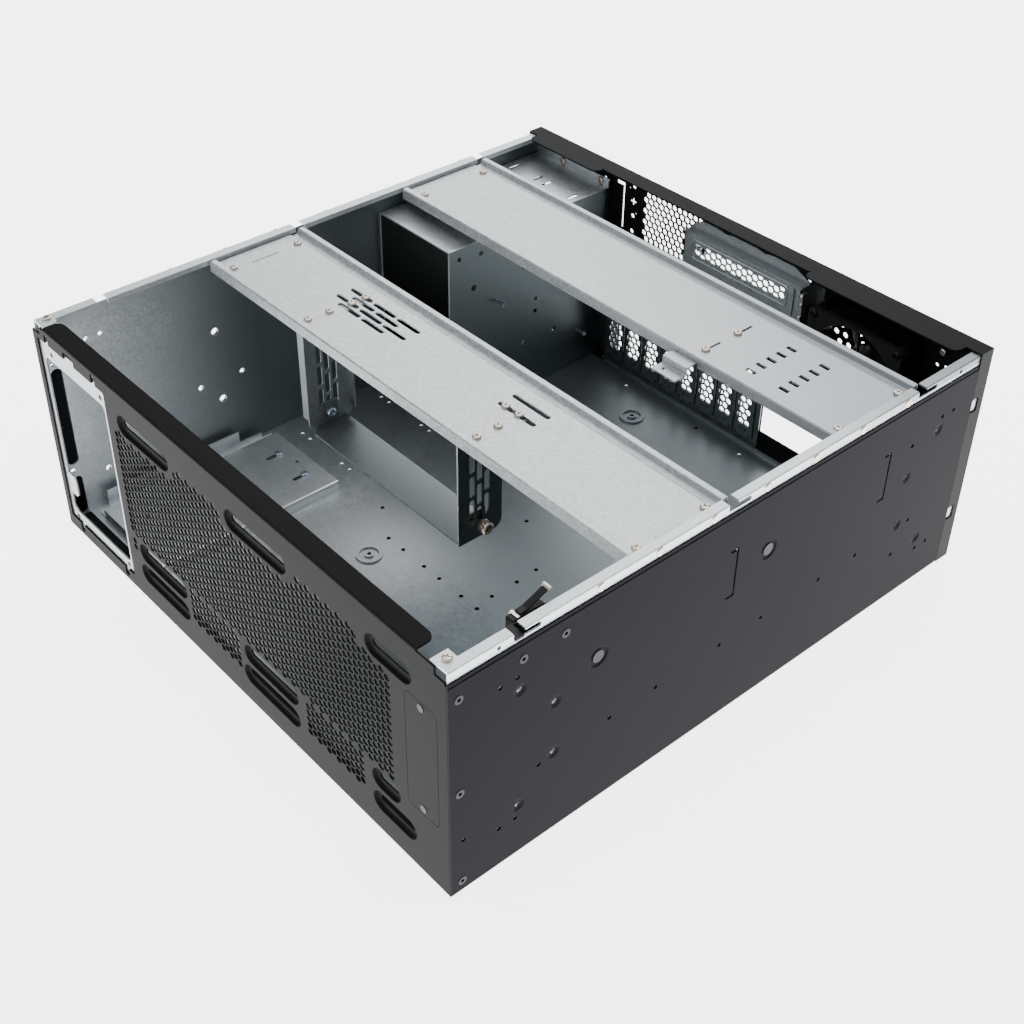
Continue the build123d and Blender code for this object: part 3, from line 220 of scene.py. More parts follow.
# the galvanised finishes are copies of one zinc coat whose tones are painted lighter or darker to stand for
# the light and shade that each part gets; mid, cover and riser are the shaded copies
finishes = {
    "bright": galvanisedSteel("zincBright", (0.26, 0.29, 0.30), (0.84, 0.86, 0.87), 520, 0.40, shadeBrace),
    "wall": galvanisedSteel("zincWall", (0.48, 0.52, 0.54), (0.84, 0.88, 0.90), 520, 0.44, shadeWall),
    "floor": galvanisedSteel("zincFloor", (0.56, 0.60, 0.62), (0.86, 0.90, 0.92), 520, 0.32, shadeFloor),
    "cage": galvanisedSteel("zincCage", (0.60, 0.64, 0.66), (0.80, 0.84, 0.86), shade=shadeCage),
    "cover": galvanisedSteel("zincCover", (0.13, 0.15, 0.16), (0.23, 0.25, 0.26), spangle=420),
    "riser": galvanisedSteel("zincRiser", (0.28, 0.305, 0.32), (0.42, 0.45, 0.465), spangle=420),
    "mid": galvanisedSteel("zincMid", (0.15, 0.17, 0.18), (0.26, 0.285, 0.295)),
    "tray": galvanisedSteel("zincTray", (0.70, 0.74, 0.76), (0.90, 0.93, 0.95), rough=0.34),
    "hanger": galvanisedSteel("zincHanger", (0.42, 0.46, 0.48), (0.66, 0.70, 0.72), shade=shadeHanger),
    "shell": powderPaint("shellPaint", (0.0035, 0.0035, 0.0052), (0.0080, 0.0080, 0.0108), specular=0.03),
    "rear": powderPaint("rearPaint", (0.007, 0.007, 0.008), (0.014, 0.014, 0.0155), specular=0.05),
    "front": powderPaint("frontPaint", (0.0078, 0.0076, 0.0076), (0.0150, 0.0146, 0.0144), specular=0.03),
    "nickel": platedSteel("nickelPlate", (0.52, 0.44, 0.36), (0.84, 0.77, 0.68), 0.2),
    "zinc": platedSteel("bluePassivate", (0.42, 0.50, 0.60), (0.70, 0.78, 0.88), 0.24),
    "blackOxide": platedSteel("blackOxide", (0.012, 0.012, 0.013), (0.035, 0.035, 0.037), 0.35),
    "plastic": mouldedPlastic("blackPlastic", (0.005, 0.005, 0.006), (0.011, 0.011, 0.012), 0.42),
}
finishNodes = {
    "shell": ["outer_shell"],
    "rear": ["rear_panel", "io_pan"],
    "front": ["front_plate", "front_blank_plate"],
    "bright": ["brace_front", "brace_rear", "card_stay"],
    "floor": ["floor_plate"],
    "tray": ["drive_tray"],
    "cage": ["psu_cage"],
    "wall": ["side_wall_right"],
    "riser": ["front_bay_frame", "hanger_left"],
    "blackOxide": ["shell_rivets", "shell_screws", "front_plate_rivets", "switch_bracket", "fan_screws"],
    "plastic": ["fan_frame", "fan_rotor", "switch_body", "switch_lever"],
    "nickel": ["brace_screws", "rail_rivets", "corner_screws", "rear_screw", "psu_screws", "shelf_thumbscrew",
               "switch_strip", "switch_roller"],
    "zinc": ["shelf_screw", "tray_screws", "psu_cage_pins"],
}
# nodes that are not named here are in the middle painted tone of the galvanised sheets, a shaded copy of the
# zinc coat
nodeFinish = {node: finish for finish, nodes in finishNodes.items() for node in nodes}


def dress(obj, finish):
    obj.data.materials.clear()
    obj.data.materials.append(finishes[finish])


for nodeName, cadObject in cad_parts.items():
    dress(cadObject, nodeFinish.get(nodeName, "mid"))
print("finishes on", len(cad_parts), "nodes")


# Sheets with holes


def roundedBox(left, right, low, high, radius, steps=5):
    # corners are quarter circles about points moved in by the radius
    turn = np.linspace(0, np.pi / 2, steps)
    corners = [(right, high, 0), (left, high, 1), (left, low, 2), (right, low, 3)]
    parts = []
    for x, z, quarter in corners:
        angle = turn + quarter * np.pi / 2
        inX = x - radius if quarter in (0, 3) else x + radius
        inZ = z - radius if quarter in (0, 1) else z + radius
        parts.append(np.column_stack([inX + radius * np.cos(angle), inZ + radius * np.sin(angle)]))
    return np.vstack(parts)


def obround(left, right, middle, height, steps=9):
    # two half circles joined by straight runs
    radius = height / 2
    turn = np.linspace(-np.pi / 2, np.pi / 2, steps)
    far = np.column_stack([right - radius + radius * np.cos(turn), middle + radius * np.sin(turn)])
    near = np.column_stack([left + radius - radius * np.cos(turn), middle - radius * np.sin(turn)])
    return np.vstack([far, near])


def roundedFlange(left, right, root, free, radius, steps=6):
    # straight root edge and a free edge whose corners are quarter circles
    turn = np.linspace(0, np.pi / 2, steps)
    way = np.sign(free - root)
    inset = radius * (1 - np.sin(turn))
    back = free - way * radius * (1 - np.cos(turn))
    far = np.column_stack([right - inset, back])
    near = np.column_stack([left + inset, back])
    edge = np.vstack([[(left, root), (right, root)], far[::-1], near])
    return edge if way > 0 else edge[::-1]


def polygonHoles(centres, radius, sides, turn=0.0):
    # the same regular polygon about every centre, as an array of (hole, corner, 2)
    angle = turn + np.arange(sides) * 2 * np.pi / sides
    corners = radius * np.column_stack([np.cos(angle), np.sin(angle)])
    return np.asarray(centres, float)[:, None, :] + corners[None, :, :]


def hexGrid(limits, pitch, upright=False):
    # staggered centres within left, right, low and high; upright gives columns in place of rows
    left, right, low, high = limits
    if upright:
        left, right, low, high = low, high, left, right
    step = pitch * np.sin(np.pi / 3)
    rows, places = np.arange((high - low) // step + 1), np.arange((right - left) // pitch + 1)
    row, place = np.meshgrid(rows, places, indexing="ij")
    along = left + (place + 0.5 * (row % 2)) * pitch
    across = low + row * step
    kept = along <= right
    grid = np.column_stack([along[kept], across[kept]])
    return grid[:, ::-1] if upright else grid


def punch(outline, holes):
    # constrained triangulation of the outline; triangles that lie in a hole are left out
    loops = [outline, *holes]
    points = np.vstack(loops)
    starts = np.cumsum([0] + [len(loop) for loop in loops])
    faces = [list(range(a, b)) for a, b in zip(starts[:-1], starts[1:])]
    found = delaunay_2d_cdt([Vector(p) for p in points.tolist()], [], faces, 1, 1e-7, True)
    kept = [face for face, origin in zip(found[2], found[5]) if list(origin) == [0]]
    return np.array([tuple(p) for p in found[0]]), np.array(kept)


planeAxes = {"upright": (0, 2, 1), "level": (0, 1, 2), "flank": (1, 2, 0)}


def plate(outline, holes, near, far, plane="upright"):
    # both faces of the sheet and a wall along every edge that only one triangle uses;
    # first and second run in the plane, the third axis goes from near to far
    points, triangles = punch(outline, holes)
    count = len(points)
    first, second, third = planeAxes[plane]
    solid = np.empty((2 * count, 3))
    solid[:, first] = np.tile(points[:, 0], 2)
    solid[:, second] = np.tile(points[:, 1], 2)
    solid[:count, third] = near
    solid[count:, third] = far
    edges = np.vstack([triangles[:, [0, 1]], triangles[:, [1, 2]], triangles[:, [2, 0]]])
    unused, inverse, uses = np.unique(np.sort(edges, axis=1), axis=0, return_inverse=True, return_counts=True)
    rim = edges[uses[inverse.ravel()] == 1]
    walls = np.column_stack([rim[:, 1], rim[:, 0], rim[:, 0] + count, rim[:, 1] + count])
    faces = triangles.tolist() + (triangles[:, ::-1] + count).tolist() + walls.tolist()
    # the upright plane looks along -Y, the other two along their own axis
    if (plane == "upright") == (far < near):
        faces = [face[::-1] for face in faces]
    return solid, faces


def sweepRings(paths, backs):
    # closed paths of equal length at their distances back, each joined to the next and the last to the first
    count = len(paths[0])
    flat = [(path, np.full(count, back)) for path, back in zip(paths, backs)]
    points = np.vstack([np.column_stack([path[:, 0], back, path[:, 1]]) for path, back in flat])
    here = np.arange(count)
    ahead = (here + 1) % count
    ring = np.arange(len(paths))[:, None] * count
    after = (ring + count) % (len(paths) * count)
    quads = np.stack([ring + here, after + here, after + ahead, ring + ahead], axis=-1)
    return points, quads.reshape(-1, 4).tolist()


def strip(section, left, right):
    # closed section of (back, height) points carried along X, with both ends closed
    count = len(section)
    ends = [np.column_stack([np.full(count, x), section]) for x in (left, right)]
    here = np.arange(count)
    ahead = (here + 1) % count
    quads = np.column_stack([here, here + count, ahead + count, ahead])
    caps = [here.tolist(), (here + count)[::-1].tolist()]
    return np.vstack(ends), quads.tolist() + caps


def bentSection(bend, sheet, long, top, low):
    # quarter bend from the face over into a flange that runs back
    turn = np.linspace(0, np.pi / 2, 6)
    outer = np.column_stack([bend - bend * np.cos(turn), top - bend + bend * np.sin(turn)])
    radius = bend - sheet
    inner = np.column_stack([bend - radius * np.cos(turn), top - bend + radius * np.sin(turn)])
    return np.vstack([[(0, low)], outer, [(long, top)], [(long, top - sheet)], inner[::-1], [(sheet, low)]])


# Turned shapes

roundSteps = 24  # a cross and a hexagon have their corners on these points
firstTurn, nextTurn = 0.7, 0.9  # radians about the axis, so that no two recesses line up
facings = {
    "up": ((1, 0, 0), (0, 1, 0), (0, 0, 1)), "front": ((1, 0, 0), (0, 0, 1), (0, -1, 0)),
    "right": ((0, 1, 0), (0, 0, 1), (1, 0, 0)), "left": ((0, -1, 0), (0, 0, 1), (-1, 0, 0)),
}


def outlineRadii(kind, size, angle):
    # distance from the axis: a cross is the lesser of size over cosine and its arm's half width over sine,
    # a hexagon half its flats over cosine, a knurl a circle with every second point moved in
    if kind == "cross":
        off = (angle + np.pi / 4) % (np.pi / 2) - np.pi / 4
        arm = size * np.tan(np.pi / 12)
        return np.minimum(size / np.cos(off), arm / np.maximum(np.abs(np.sin(off)), 1e-9))
    if kind == "hexagon":
        return size / np.cos(angle % (np.pi / 3) - np.pi / 6)
    if kind == "knurl":
        return size - thumbScrew["tooth"] * (np.arange(len(angle)) % 2)
    return np.full(len(angle), size)


def turnedShape(rings, steps=roundSteps):
    # rings of (outline, size, height) from the shank's end over the head, with both ends closed
    angle = np.arange(steps) * 2 * np.pi / steps
    radii = np.array([outlineRadii(kind, size, angle) for kind, size, height in rings])
    heights = np.repeat([[height] for kind, size, height in rings], steps, axis=1)
    points = np.stack([radii * np.cos(angle), radii * np.sin(angle), heights], axis=-1).reshape(-1, 3)
    here = np.arange(steps)
    ahead = (here + 1) % steps
    ring = np.arange(len(rings) - 1)[:, None] * steps
    quads = np.stack([ring + here, ring + ahead, ring + ahead + steps, ring + here + steps], axis=-1)
    caps = [here[::-1].tolist(), (here + (len(rings) - 1) * steps).tolist()]
    return points, quads.reshape(-1, 4).tolist() + caps


def setTurned(shape, places, facing):
    # copies with the axis along the facing, each turned a little further, at (x, back, height)
    points, faces = shape
    axes = np.array(facings[facing])
    copies = []
    for number, place in enumerate(places):
        turn = firstTurn + nextTurn * number
        across = points[:, 0] * np.cos(turn) - points[:, 1] * np.sin(turn)
        along = points[:, 0] * np.sin(turn) + points[:, 1] * np.cos(turn)
        copies.append((np.column_stack([across, along, points[:, 2]]) @ axes + place, faces))
    return copies


# Making a piece


def gather(parts):
    # several (points, faces) as one
    points, faces, start = [], [], 0
    for somePoints, someFaces in parts:
        points.append(np.asarray(somePoints, float))
        faces += [[index + start for index in face] for face in someFaces]
        start += len(somePoints)
    return np.vstack(points), faces


def toFrame(points):
    # millimetres measured back from the front face to metres in the frame
    placed = np.asarray(points, float) * mm
    placed[:, 1] += frontY
    return placed


def addPiece(name, parts, finish, body, replaced=(), smooth=False):
    points, faces = gather(parts)
    mesh = bpy.data.meshes.new(name)
    mesh.from_pydata(toFrame(points).tolist(), [], faces)
    mesh.validate()
    turned = bmesh.new()
    turned.from_mesh(mesh)
    bmesh.ops.recalc_face_normals(turned, faces=turned.faces)
    turned.to_mesh(mesh)
    turned.free()
    obj = bpy.data.objects.new(name, mesh)
    bpy.context.scene.collection.objects.link(obj)
    dress(obj, finish)
    if smooth:
        mesh.shade_smooth()
        mesh.set_sharp_from_angle(angle=np.radians(35))
    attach(obj, body)
    if replaced:
        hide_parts(*replaced)
    return obj


# Camera, light and floor

cameraPlace = {"at": (0.6506, -0.5732, 0.7227), "azimuth": 49.187, "elevation": 36.608, "roll": 0.279}
cameraLens = {"focal": 54.54, "shiftX": 0.0192, "shiftY": -0.0602}
stageSizes = {"reach": 6.0, "drop": 0.0002, "glow": 4.2, "sky": 0.34}
lamps = {
    "topSoftbox": {"place": (0.0, 0.3, 2.0), "size": (2.4, 2.4), "power": 38},
    "rearSoftbox": {"place": (-1.7, 1.9, 1.5), "size": (2.4, 2.0), "power": 42},
    "frontSoftbox": {"place": (-0.4, -1.9, 1.6), "size": (1.5, 1.2), "power": 8},
}


def placeCamera():
    azimuth, elevation, roll = np.radians([cameraPlace[key] for key in ("azimuth", "elevation", "roll")])
    level = np.cos(elevation)
    forward = Vector((-np.sin(azimuth) * level, np.cos(azimuth) * level, -np.sin(elevation)))
    right = forward.cross(Vector((0, 0, 1))).normalized()
    up = right.cross(forward)
    turned = Matrix((right, up, -forward)).transposed().to_4x4() @ Matrix.Rotation(roll, 4, "Z")
    camera = bpy.data.objects.new("camera", bpy.data.cameras.new("camera"))
    bpy.context.scene.collection.objects.link(camera)
    camera.matrix_world = Matrix.Translation(cameraPlace["at"]) @ turned
    camera.data.lens = cameraLens["focal"]
    camera.data.sensor_width = 36
    camera.data.shift_x = cameraLens["shiftX"]
    camera.data.shift_y = cameraLens["shiftY"]
    camera.data.clip_end = 50
    bpy.context.scene.camera = camera


def addLight(name, place, size, power):
    lamp = bpy.data.lights.new(name, "AREA")
    lamp.shape = "RECTANGLE"
    lamp.size, lamp.size_y = size
    lamp.energy = power
    obj = bpy.data.objects.new(name, lamp)
    aim = (Vector((0, 0, 0.1)) - Vector(place)).to_track_quat("-Z", "Y")
    obj.matrix_world = Matrix.Translation(place) @ aim.to_matrix().to_4x4()
    bpy.context.scene.collection.objects.link(obj)


def setStage():
    world = bpy.data.worlds.new("studio")
    bpy.context.scene.world = world
    world.use_nodes = True
    world.node_tree.nodes["Background"].inputs["Color"].default_value = (0.93, 0.97, 1.0, 1)
    world.node_tree.nodes["Background"].inputs["Strength"].default_value = stageSizes["sky"]
    for name, lamp in lamps.items():
        addLight(name, **lamp)
    reach = stageSizes["reach"]
    mesh = bpy.data.meshes.new("studioFloor")
    corners = np.array([(-1, -1), (1, -1), (1, 1), (-1, 1)]) * reach
    mesh.from_pydata([(x, y, -stageSizes["drop"]) for x, y in corners.tolist()], [], [(0, 1, 2, 3)])
    floor = bpy.data.objects.new("studioFloor", mesh)
    bpy.context.scene.collection.objects.link(floor)
    paper = Finish("studioPaper", 0.8, 0.0, 0.1)
    fibre = paper.noise(60, 3)
    pale = paper.blendColours(fibre, (0.93, 0.93, 0.93), (0.97, 0.97, 0.97))
    paper.feed("Base Color", pale)
    paper.feed("Emission Color", pale)
    paper.shader.inputs["Emission Strength"].default_value = stageSizes["glow"]
    mesh.materials.append(paper.material)


placeCamera()
setStage()
print("camera, light and floor are set")


# Front plate

plateSizes = {
    "half": 218.6, "top": 174.0, "shoulder": 209.0, "skinTop": 167.0, "sheet": 1.2, "bend": 1.6,
    "flangeLeft": -204.0, "flangeRight": 194.0, "flangeLong": 14.0, "flangeCorner": 6.0,
    "footLow": 2.6, "footLong": 15.0, "footHalf": 216.5,
    "bay": (-214.4, -125.8, 10.0, 163.0), "bayNotch": (-178, -164, 158, 169), "corner": 2,
    "blank": (183.0, 210.6, 50.0, 138.0), "blankCorner": 4, "hookHalf": 2.5, "hookCorner": 2.4,
    "hooks": ((-201, 160, 10), (-138.5, 160, 11), (-199.5, 10, 7), (-136.5, 10, 7)),
}
hexSizes = {"pitch": 5.55, "flats": 4.62, "clear": 0.6}
hexFields = (
    (-120, 171, 53.5, 142.5), (-50, 11, 136, 153.5), (80.5, 143.5, 136, 153.5), (-49, 14, 22, 56),
    (81, 143.5, 22, 56), (-120, -111.5, 35, 56),
)
recessSizes = {
    "height": 16.0, "depth": 2.5, "slope": 1.6, "slot": 5.5, "inset": 4.5, "lip": 0.35, "lipDepth": 0.25,
}
recessRows = {
    149: ((-112, -50), (12, 76), (149, 190)),
    44.25: ((-110, -50), (17, 76), (149, 176)),
    25.25: ((-112, -50), (14, 76), (149, 190)),
}
recesses = [(left, right, z) for z, spans in recessRows.items() for left, right in spans]


def plateHexagons(keep):
    # centres of the staggered grid that lie inside a field and clear of every recess
    centres = hexGrid((-129.8, 180, 1, 170), hexSizes["pitch"], upright=True)
    x, z = centres.T
    inside = np.zeros(len(x), bool)
    for left, right, low, high in hexFields:
        inside |= (x > left + keep) & (x < right - keep) & (z > low + keep) & (z < high - keep)
    reach = recessSizes["height"] / 2
    for left, right, middle in recesses:
        nearest = np.clip(x, left + reach, right - reach)
        inside &= np.hypot(x - nearest, z - middle) > reach + keep + hexSizes["clear"]
    return centres[inside]


def recessRing(left, right, middle):
    # from the face down the slope to the slotted bottom, through the sheet and back up behind
    sheet, slope, depth = plateSizes["sheet"], recessSizes["slope"], recessSizes["depth"]
    height, slot, inset = recessSizes["height"], recessSizes["slot"], recessSizes["inset"]
    lip, lipDepth = recessSizes["lip"], recessSizes["lipDepth"]
    insets = [0, lip, slope * 0.6, slope, inset, inset, slope + sheet * 0.3, lip, 0]
    behind = depth + sheet
    depths = [0, lipDepth, depth * 0.75, depth, depth, behind, behind, sheet + 2 * lipDepth, sheet]
    paths = []
    for number, move in enumerate(insets):
        tall = slot if move == inset else height - 2 * move
        paths.append(obround(left + move, right - move, middle, tall))
    return sweepRings(paths, depths)


def buildFrontPlate():
    p = plateSizes
    edge = p["top"] - p["bend"]
    corner, half, shoulder, skin = p["corner"], p["half"], p["shoulder"], p["skinTop"]
    outline = np.array([
        (-half, 0), (half, 0), (half, skin - corner), (half - corner, skin), (shoulder, skin),
        (shoulder, edge), (-shoulder, edge), (-shoulder, skin), (corner - half, skin), (-half, skin - corner),
    ])
    cuts = [roundedBox(*p["bay"], corner), roundedBox(*p["bayNotch"], corner)]
    cuts.append(roundedBox(*p["blank"], p["blankCorner"]))
    for x, z, size in p["hooks"]:
        cuts.append(roundedBox(x - p["hookHalf"], x + p["hookHalf"], z - size, z + size, p["hookCorner"]))
    cuts += [obround(left, right, z, recessSizes["height"]) for left, right, z in recesses]
    radius = hexSizes["flats"] / np.sqrt(3)
    centres = plateHexagons(radius)
    cuts += list(polygonHoles(centres, radius, 6))
    flange = bentSection(p["bend"], p["sheet"], p["bend"] + 1, p["top"], edge)
    left, right = p["flangeLeft"], p["flangeRight"]
    flat = roundedFlange(left, right, p["bend"] + 1, p["flangeLong"], p["flangeCorner"])
    foot = [(p["sheet"], p["footLow"]), (p["sheet"], p["footLow"] + p["sheet"]),
            (p["footLong"], p["footLow"] + p["sheet"]), (p["footLong"], p["footLow"])]
    parts = [plate(outline, cuts, 0, p["sheet"]), strip(flange, left, right)]
    parts.append(plate(flat, [], p["top"] - p["sheet"], p["top"], "level"))
    parts.append(strip(foot, -p["footHalf"], p["footHalf"]))
    parts += [recessRing(*recess) for recess in recesses]
    addPiece("frontPlate", parts, "front", "chassis", ["front_plate"])
    print("front plate with", len(centres), "hexagons")


buildFrontPlate()


# Slot covers

coverSizes = {
    "first": -104.65, "pitch": 20.3, "count": 8, "wide": 18.3, "low": 12.2, "high": 113.0, "near": 443.0,
    "sheet": 1.2, "bend": 1.6, "tab": 11.0, "slit": 2.0, "slitTop": 14.7, "slitOffset": 6.5,
}
coverHexes = {"pitch": 5.9, "flats": 4.75, "low": 19.4, "high": 104.0, "halfWide": 7.1}
lances = {"lefts": (-3.4, 1.2), "wide": 2.2, "low": 17.4, "high": 18.6, "corner": 0.5}


def coverOutline(middle):
    # rectangle with two short slits up from its lower edge
    c = coverSizes
    half, offset, slit = c["wide"] / 2, c["slitOffset"], c["slit"] / 2
    edge = [(-half, c["low"])]
    for place in (-offset, offset):
        edge += [(place - slit, c["low"]), (place - slit, c["slitTop"]),
                 (place + slit, c["slitTop"]), (place + slit, c["low"])]
    edge += [(half, c["low"]), (half, c["high"] - c["bend"]), (-half, c["high"] - c["bend"])]
    return np.array(edge) + (middle, 0)


def buildSlotCovers():
    c, h = coverSizes, coverHexes
    radius = h["flats"] / np.sqrt(3)
    for number in range(c["count"]):
        middle = c["first"] + number * c["pitch"]
        limits = (middle - h["pitch"], middle + h["pitch"], h["low"], h["high"])
        centres = hexGrid(limits, h["pitch"])
        holes = polygonHoles(centres[centres[:, 1] > h["low"] + 1], radius, 6, np.pi / 6)
        holes[:, :, 0] = np.clip(holes[:, :, 0], middle - h["halfWide"], middle + h["halfWide"])
        cuts = list(holes)
        for left in lances["lefts"]:
            span = middle + left, middle + left + lances["wide"]
            cuts.append(roundedBox(*span, lances["low"], lances["high"], lances["corner"]))
        bent = bentSection(c["bend"], c["sheet"], c["tab"], c["high"], c["high"] - c["bend"])
        bent = [(c["near"] + c["sheet"] - back, z) for back, z in bent]
        sheet = plate(coverOutline(middle), cuts, c["near"], c["near"] + c["sheet"])
        tab = strip(bent[::-1], middle - c["wide"] / 2, middle + c["wide"] / 2)
        node = f"slot_cover_{number + 1}"
        addPiece(f"slotCover{number + 1}", [sheet, tab], "cover", "chassis", [node])
    print("slot covers:", c["count"])


buildSlotCovers()


# Rear panel, connector pan and riser

panelSizes = {
    "half": 220.0, "near": 447.2, "in": 458.8, "far": 460.0, "top": 175.6, "sheet": 1.2,
    "flanges": ((-210, -131, 437, 6), (-130.9, 78, 444.7, 2), (78.1, 207, 437, 6)),
    "notches": ((451, 134), (451, 43)), "notch": (7, 11), "notchCorner": 1.5,
    "power": (-213, -137.9, 10, 150), "powerCorner": 3, "cross": (-109.5, 151, 3.2),
    "gap": ((-121.4, 124), (-119.4, 124), (-119.4, 163.5), (-128.4, 163.5), (-128.4, 160.3), (-121.4, 160.3)),
    "riser": ((-51, 121), (70, 121), (70, 159), (-32, 159), (-32, 137), (-51, 137)),
    "rounds": (
        (-109.5, 164, 2), (-109.5, 138.5, 2), (-109.5, 125, 2), (-114, 161.5, 0.9), (-106, 141.5, 0.9),
        (182, 144, 1.5), (189, 145, 1.5), (185, 156, 1.6), (-185.3, 159.5, 1.6), (-141.3, 159.5, 1.6),
    ),
}
ventSizes = {
    "limits": (-96.2, -38.4, 119.5, 168.2), "pitch": 5.5, "flats": 4.5, "besideRiser": -54, "aboveRiser": 141,
}
grilleSizes = {
    "middle": (129.7, 118), "screwPitch": 71.5, "screw": 2.15, "screwBack": 433.7, "reach": 36.0, "hub": 14.0,
    "pitch": 8.0, "flats": 4.4,
}
panSizes = {
    "outline": ((-118, 1.3), (214, 1.3), (214, 76), (51.5, 76), (51.5, 113), (-118, 113)),
    "inside": ((-116.8, 2.5), (212.8, 2.5), (212.8, 74.8), (50.3, 74.8), (50.3, 111.8), (-116.8, 111.8)),
    "near": 445.6, "face": 446.8, "far": 458.7, "slotHalf": 7.5, "slots": (20.5, 106), "corner": 0.5,
    "connectors": (51.8, 209.75, 22.5, 66.95),
}
slotFrameSizes = {
    "outline": (-118, 51.5, 8, 114), "corner": 0.5, "open": (-113.8, 46.6, 20, 108), "openCorner": 1,
    "near": 444.3, "far": 445.5, "hem": (441.3, 8, 9.2),
}
riserSizes = {
    "window": (-32, 71, 136, 161), "corner": 3.0, "near": 438.7, "sheet": 1.2,
    "limits": (-21.4, 60.6, 144.6, 157.0), "pitch": 5.9, "flats": 4.85, "span": (147.0, 157.2),
    "rim": (-27.5, 66.5, 143.2, 160.0), "rimWide": 1.3, "rimRise": 0.6, "rimCorner": 4.0, "rimSunk": 0.05,
}
bracketSizes = {
    "left": -37.0, "right": 77.0, "near": 440.0, "sheet": 1.2, "top": 163.0, "low": 119.0, "far": 458.7,
    "faceCorner": 0.3, "window": (-25.5, 63.5, 142, 159), "wave": 448.0, "waveRoot": 162.0, "shoulder": 164.5,
    "crest": 171.2, "dips": (-4, 34), "dip": 1.3, "dipWide": 4.0, "waveLeft": -27.0, "waveRight": 62.0,
    "endLow": 143.0, "tab": (75.8, 84, 143, 159),
}
clipSizes = {
    "box": (77, 79.4, 137, 159.5), "corner": 0.8, "near": 439.0, "far": 444.0, "screwX": 78.2,
    "screwHeights": (157, 150.5, 140),
}


def buildRearPanel():
    p, v, g = panelSizes, ventSizes, grilleSizes
    half, inner, low = p["half"], p["half"] - p["sheet"], p["sheet"]
    outline = np.array([(-half, 0), (half, 0), (half, p["top"]), (-half, p["top"])])
    cuts = [roundedBox(*p["power"], p["powerCorner"])]
    cuts += [np.array(outlinePoints) for outlinePoints in (p["gap"], p["riser"], panSizes["inside"])]
    cuts += [polygonHoles([(x, z)], radius, 16)[0] for x, z, radius in p["rounds"]]
    angle = np.arange(roundSteps) * 2 * np.pi / roundSteps
    x, z, size = p["cross"]
    reach = outlineRadii("cross", size, angle)
    cuts.append(np.column_stack([x + reach * np.cos(angle), z + reach * np.sin(angle)]))
    vent = hexGrid(v["limits"], v["pitch"])
    vent = vent[(vent[:, 0] < v["besideRiser"]) | (vent[:, 1] > v["aboveRiser"])]
    cuts += list(polygonHoles(vent, v["flats"] / np.sqrt(3), 6, np.pi / 6))
    middle = np.array(g["middle"])
    grille = hexGrid((-g["reach"], g["reach"], -g["reach"], g["reach"]), g["pitch"])
    away = np.hypot(*grille.T)
    grille = grille[(away < g["reach"]) & (away > g["hub"])] + middle
    cuts += list(polygonHoles(grille, g["flats"] / np.sqrt(3), 6, np.pi / 6))
    corners = middle + np.array([(a, b) for a in (-0.5, 0.5) for b in (-0.5, 0.5)]) * g["screwPitch"]
    cuts += list(polygonHoles(corners, g["screw"], 16))
    near, far, top = p["near"], p["in"], p["top"]
    wide, tall = p["notch"]
    side = np.array([(near, 0), (far, 0), (far, top), (near, top)])
    notches = []
    for back, z in p["notches"]:
        box = back - wide / 2, back + wide / 2, z - tall / 2, z + tall / 2
        notches.append(roundedBox(*box, p["notchCorner"]))
    lid = np.array([(-inner, near), (inner, near), (inner, far), (-inner, far)])
    flanges = [roundedFlange(left, right, near, free, corner) for left, right, free, corner in p["flanges"]]
    base = np.array([(-inner, near), (inner, near), (inner, far), (-inner, far)])
    parts = [
        plate(outline, cuts, far, p["far"]), plate(side, notches, inner, half, "flank"),
        plate(side, notches, -half, -inner, "flank"), plate(lid, [], top - low, top, "level"),
        plate(base, [], 0, low, "level"),
    ]
    parts += [plate(flange, [], top - low, top, "level") for flange in flanges]
    addPiece("rearPanel", parts, "rear", "chassis", ["rear_panel"])
    print("rear panel with", len(vent), "vent holes and", len(grille), "grille holes")


def buildPan():
    # recessed pan with its slot and connector windows, and the frame of the slots before it
    p, f, c = panSizes, slotFrameSizes, coverSizes
    middles = c["first"] + np.arange(c["count"]) * c["pitch"]
    windows = [roundedBox(x - p["slotHalf"], x + p["slotHalf"], *p["slots"], p["corner"]) for x in middles]
    windows.append(roundedBox(*p["connectors"], p["corner"]))
    outline, inside = np.array(p["outline"]), np.array(p["inside"])
    parts = [plate(outline, windows, p["near"], p["face"]), plate(outline, [inside], p["face"], p["far"])]
    addPiece("connectorPan", parts, "rear", "chassis", ["io_pan"])
    left, right, low, high = f["outline"]
    hem, hemLow, hemHigh = f["hem"]
    section = [(hem, hemLow), (hem, hemHigh), (f["near"], hemHigh), (f["near"], hemLow)]
    rim = roundedBox(*f["outline"], f["corner"])
    opening = roundedBox(*f["open"], f["openCorner"])
    parts = [plate(rim, [opening], f["near"], f["far"]), strip(section, left, right)]
    addPiece("slotFrame", parts, "cover", "chassis", ["slot_frame"])


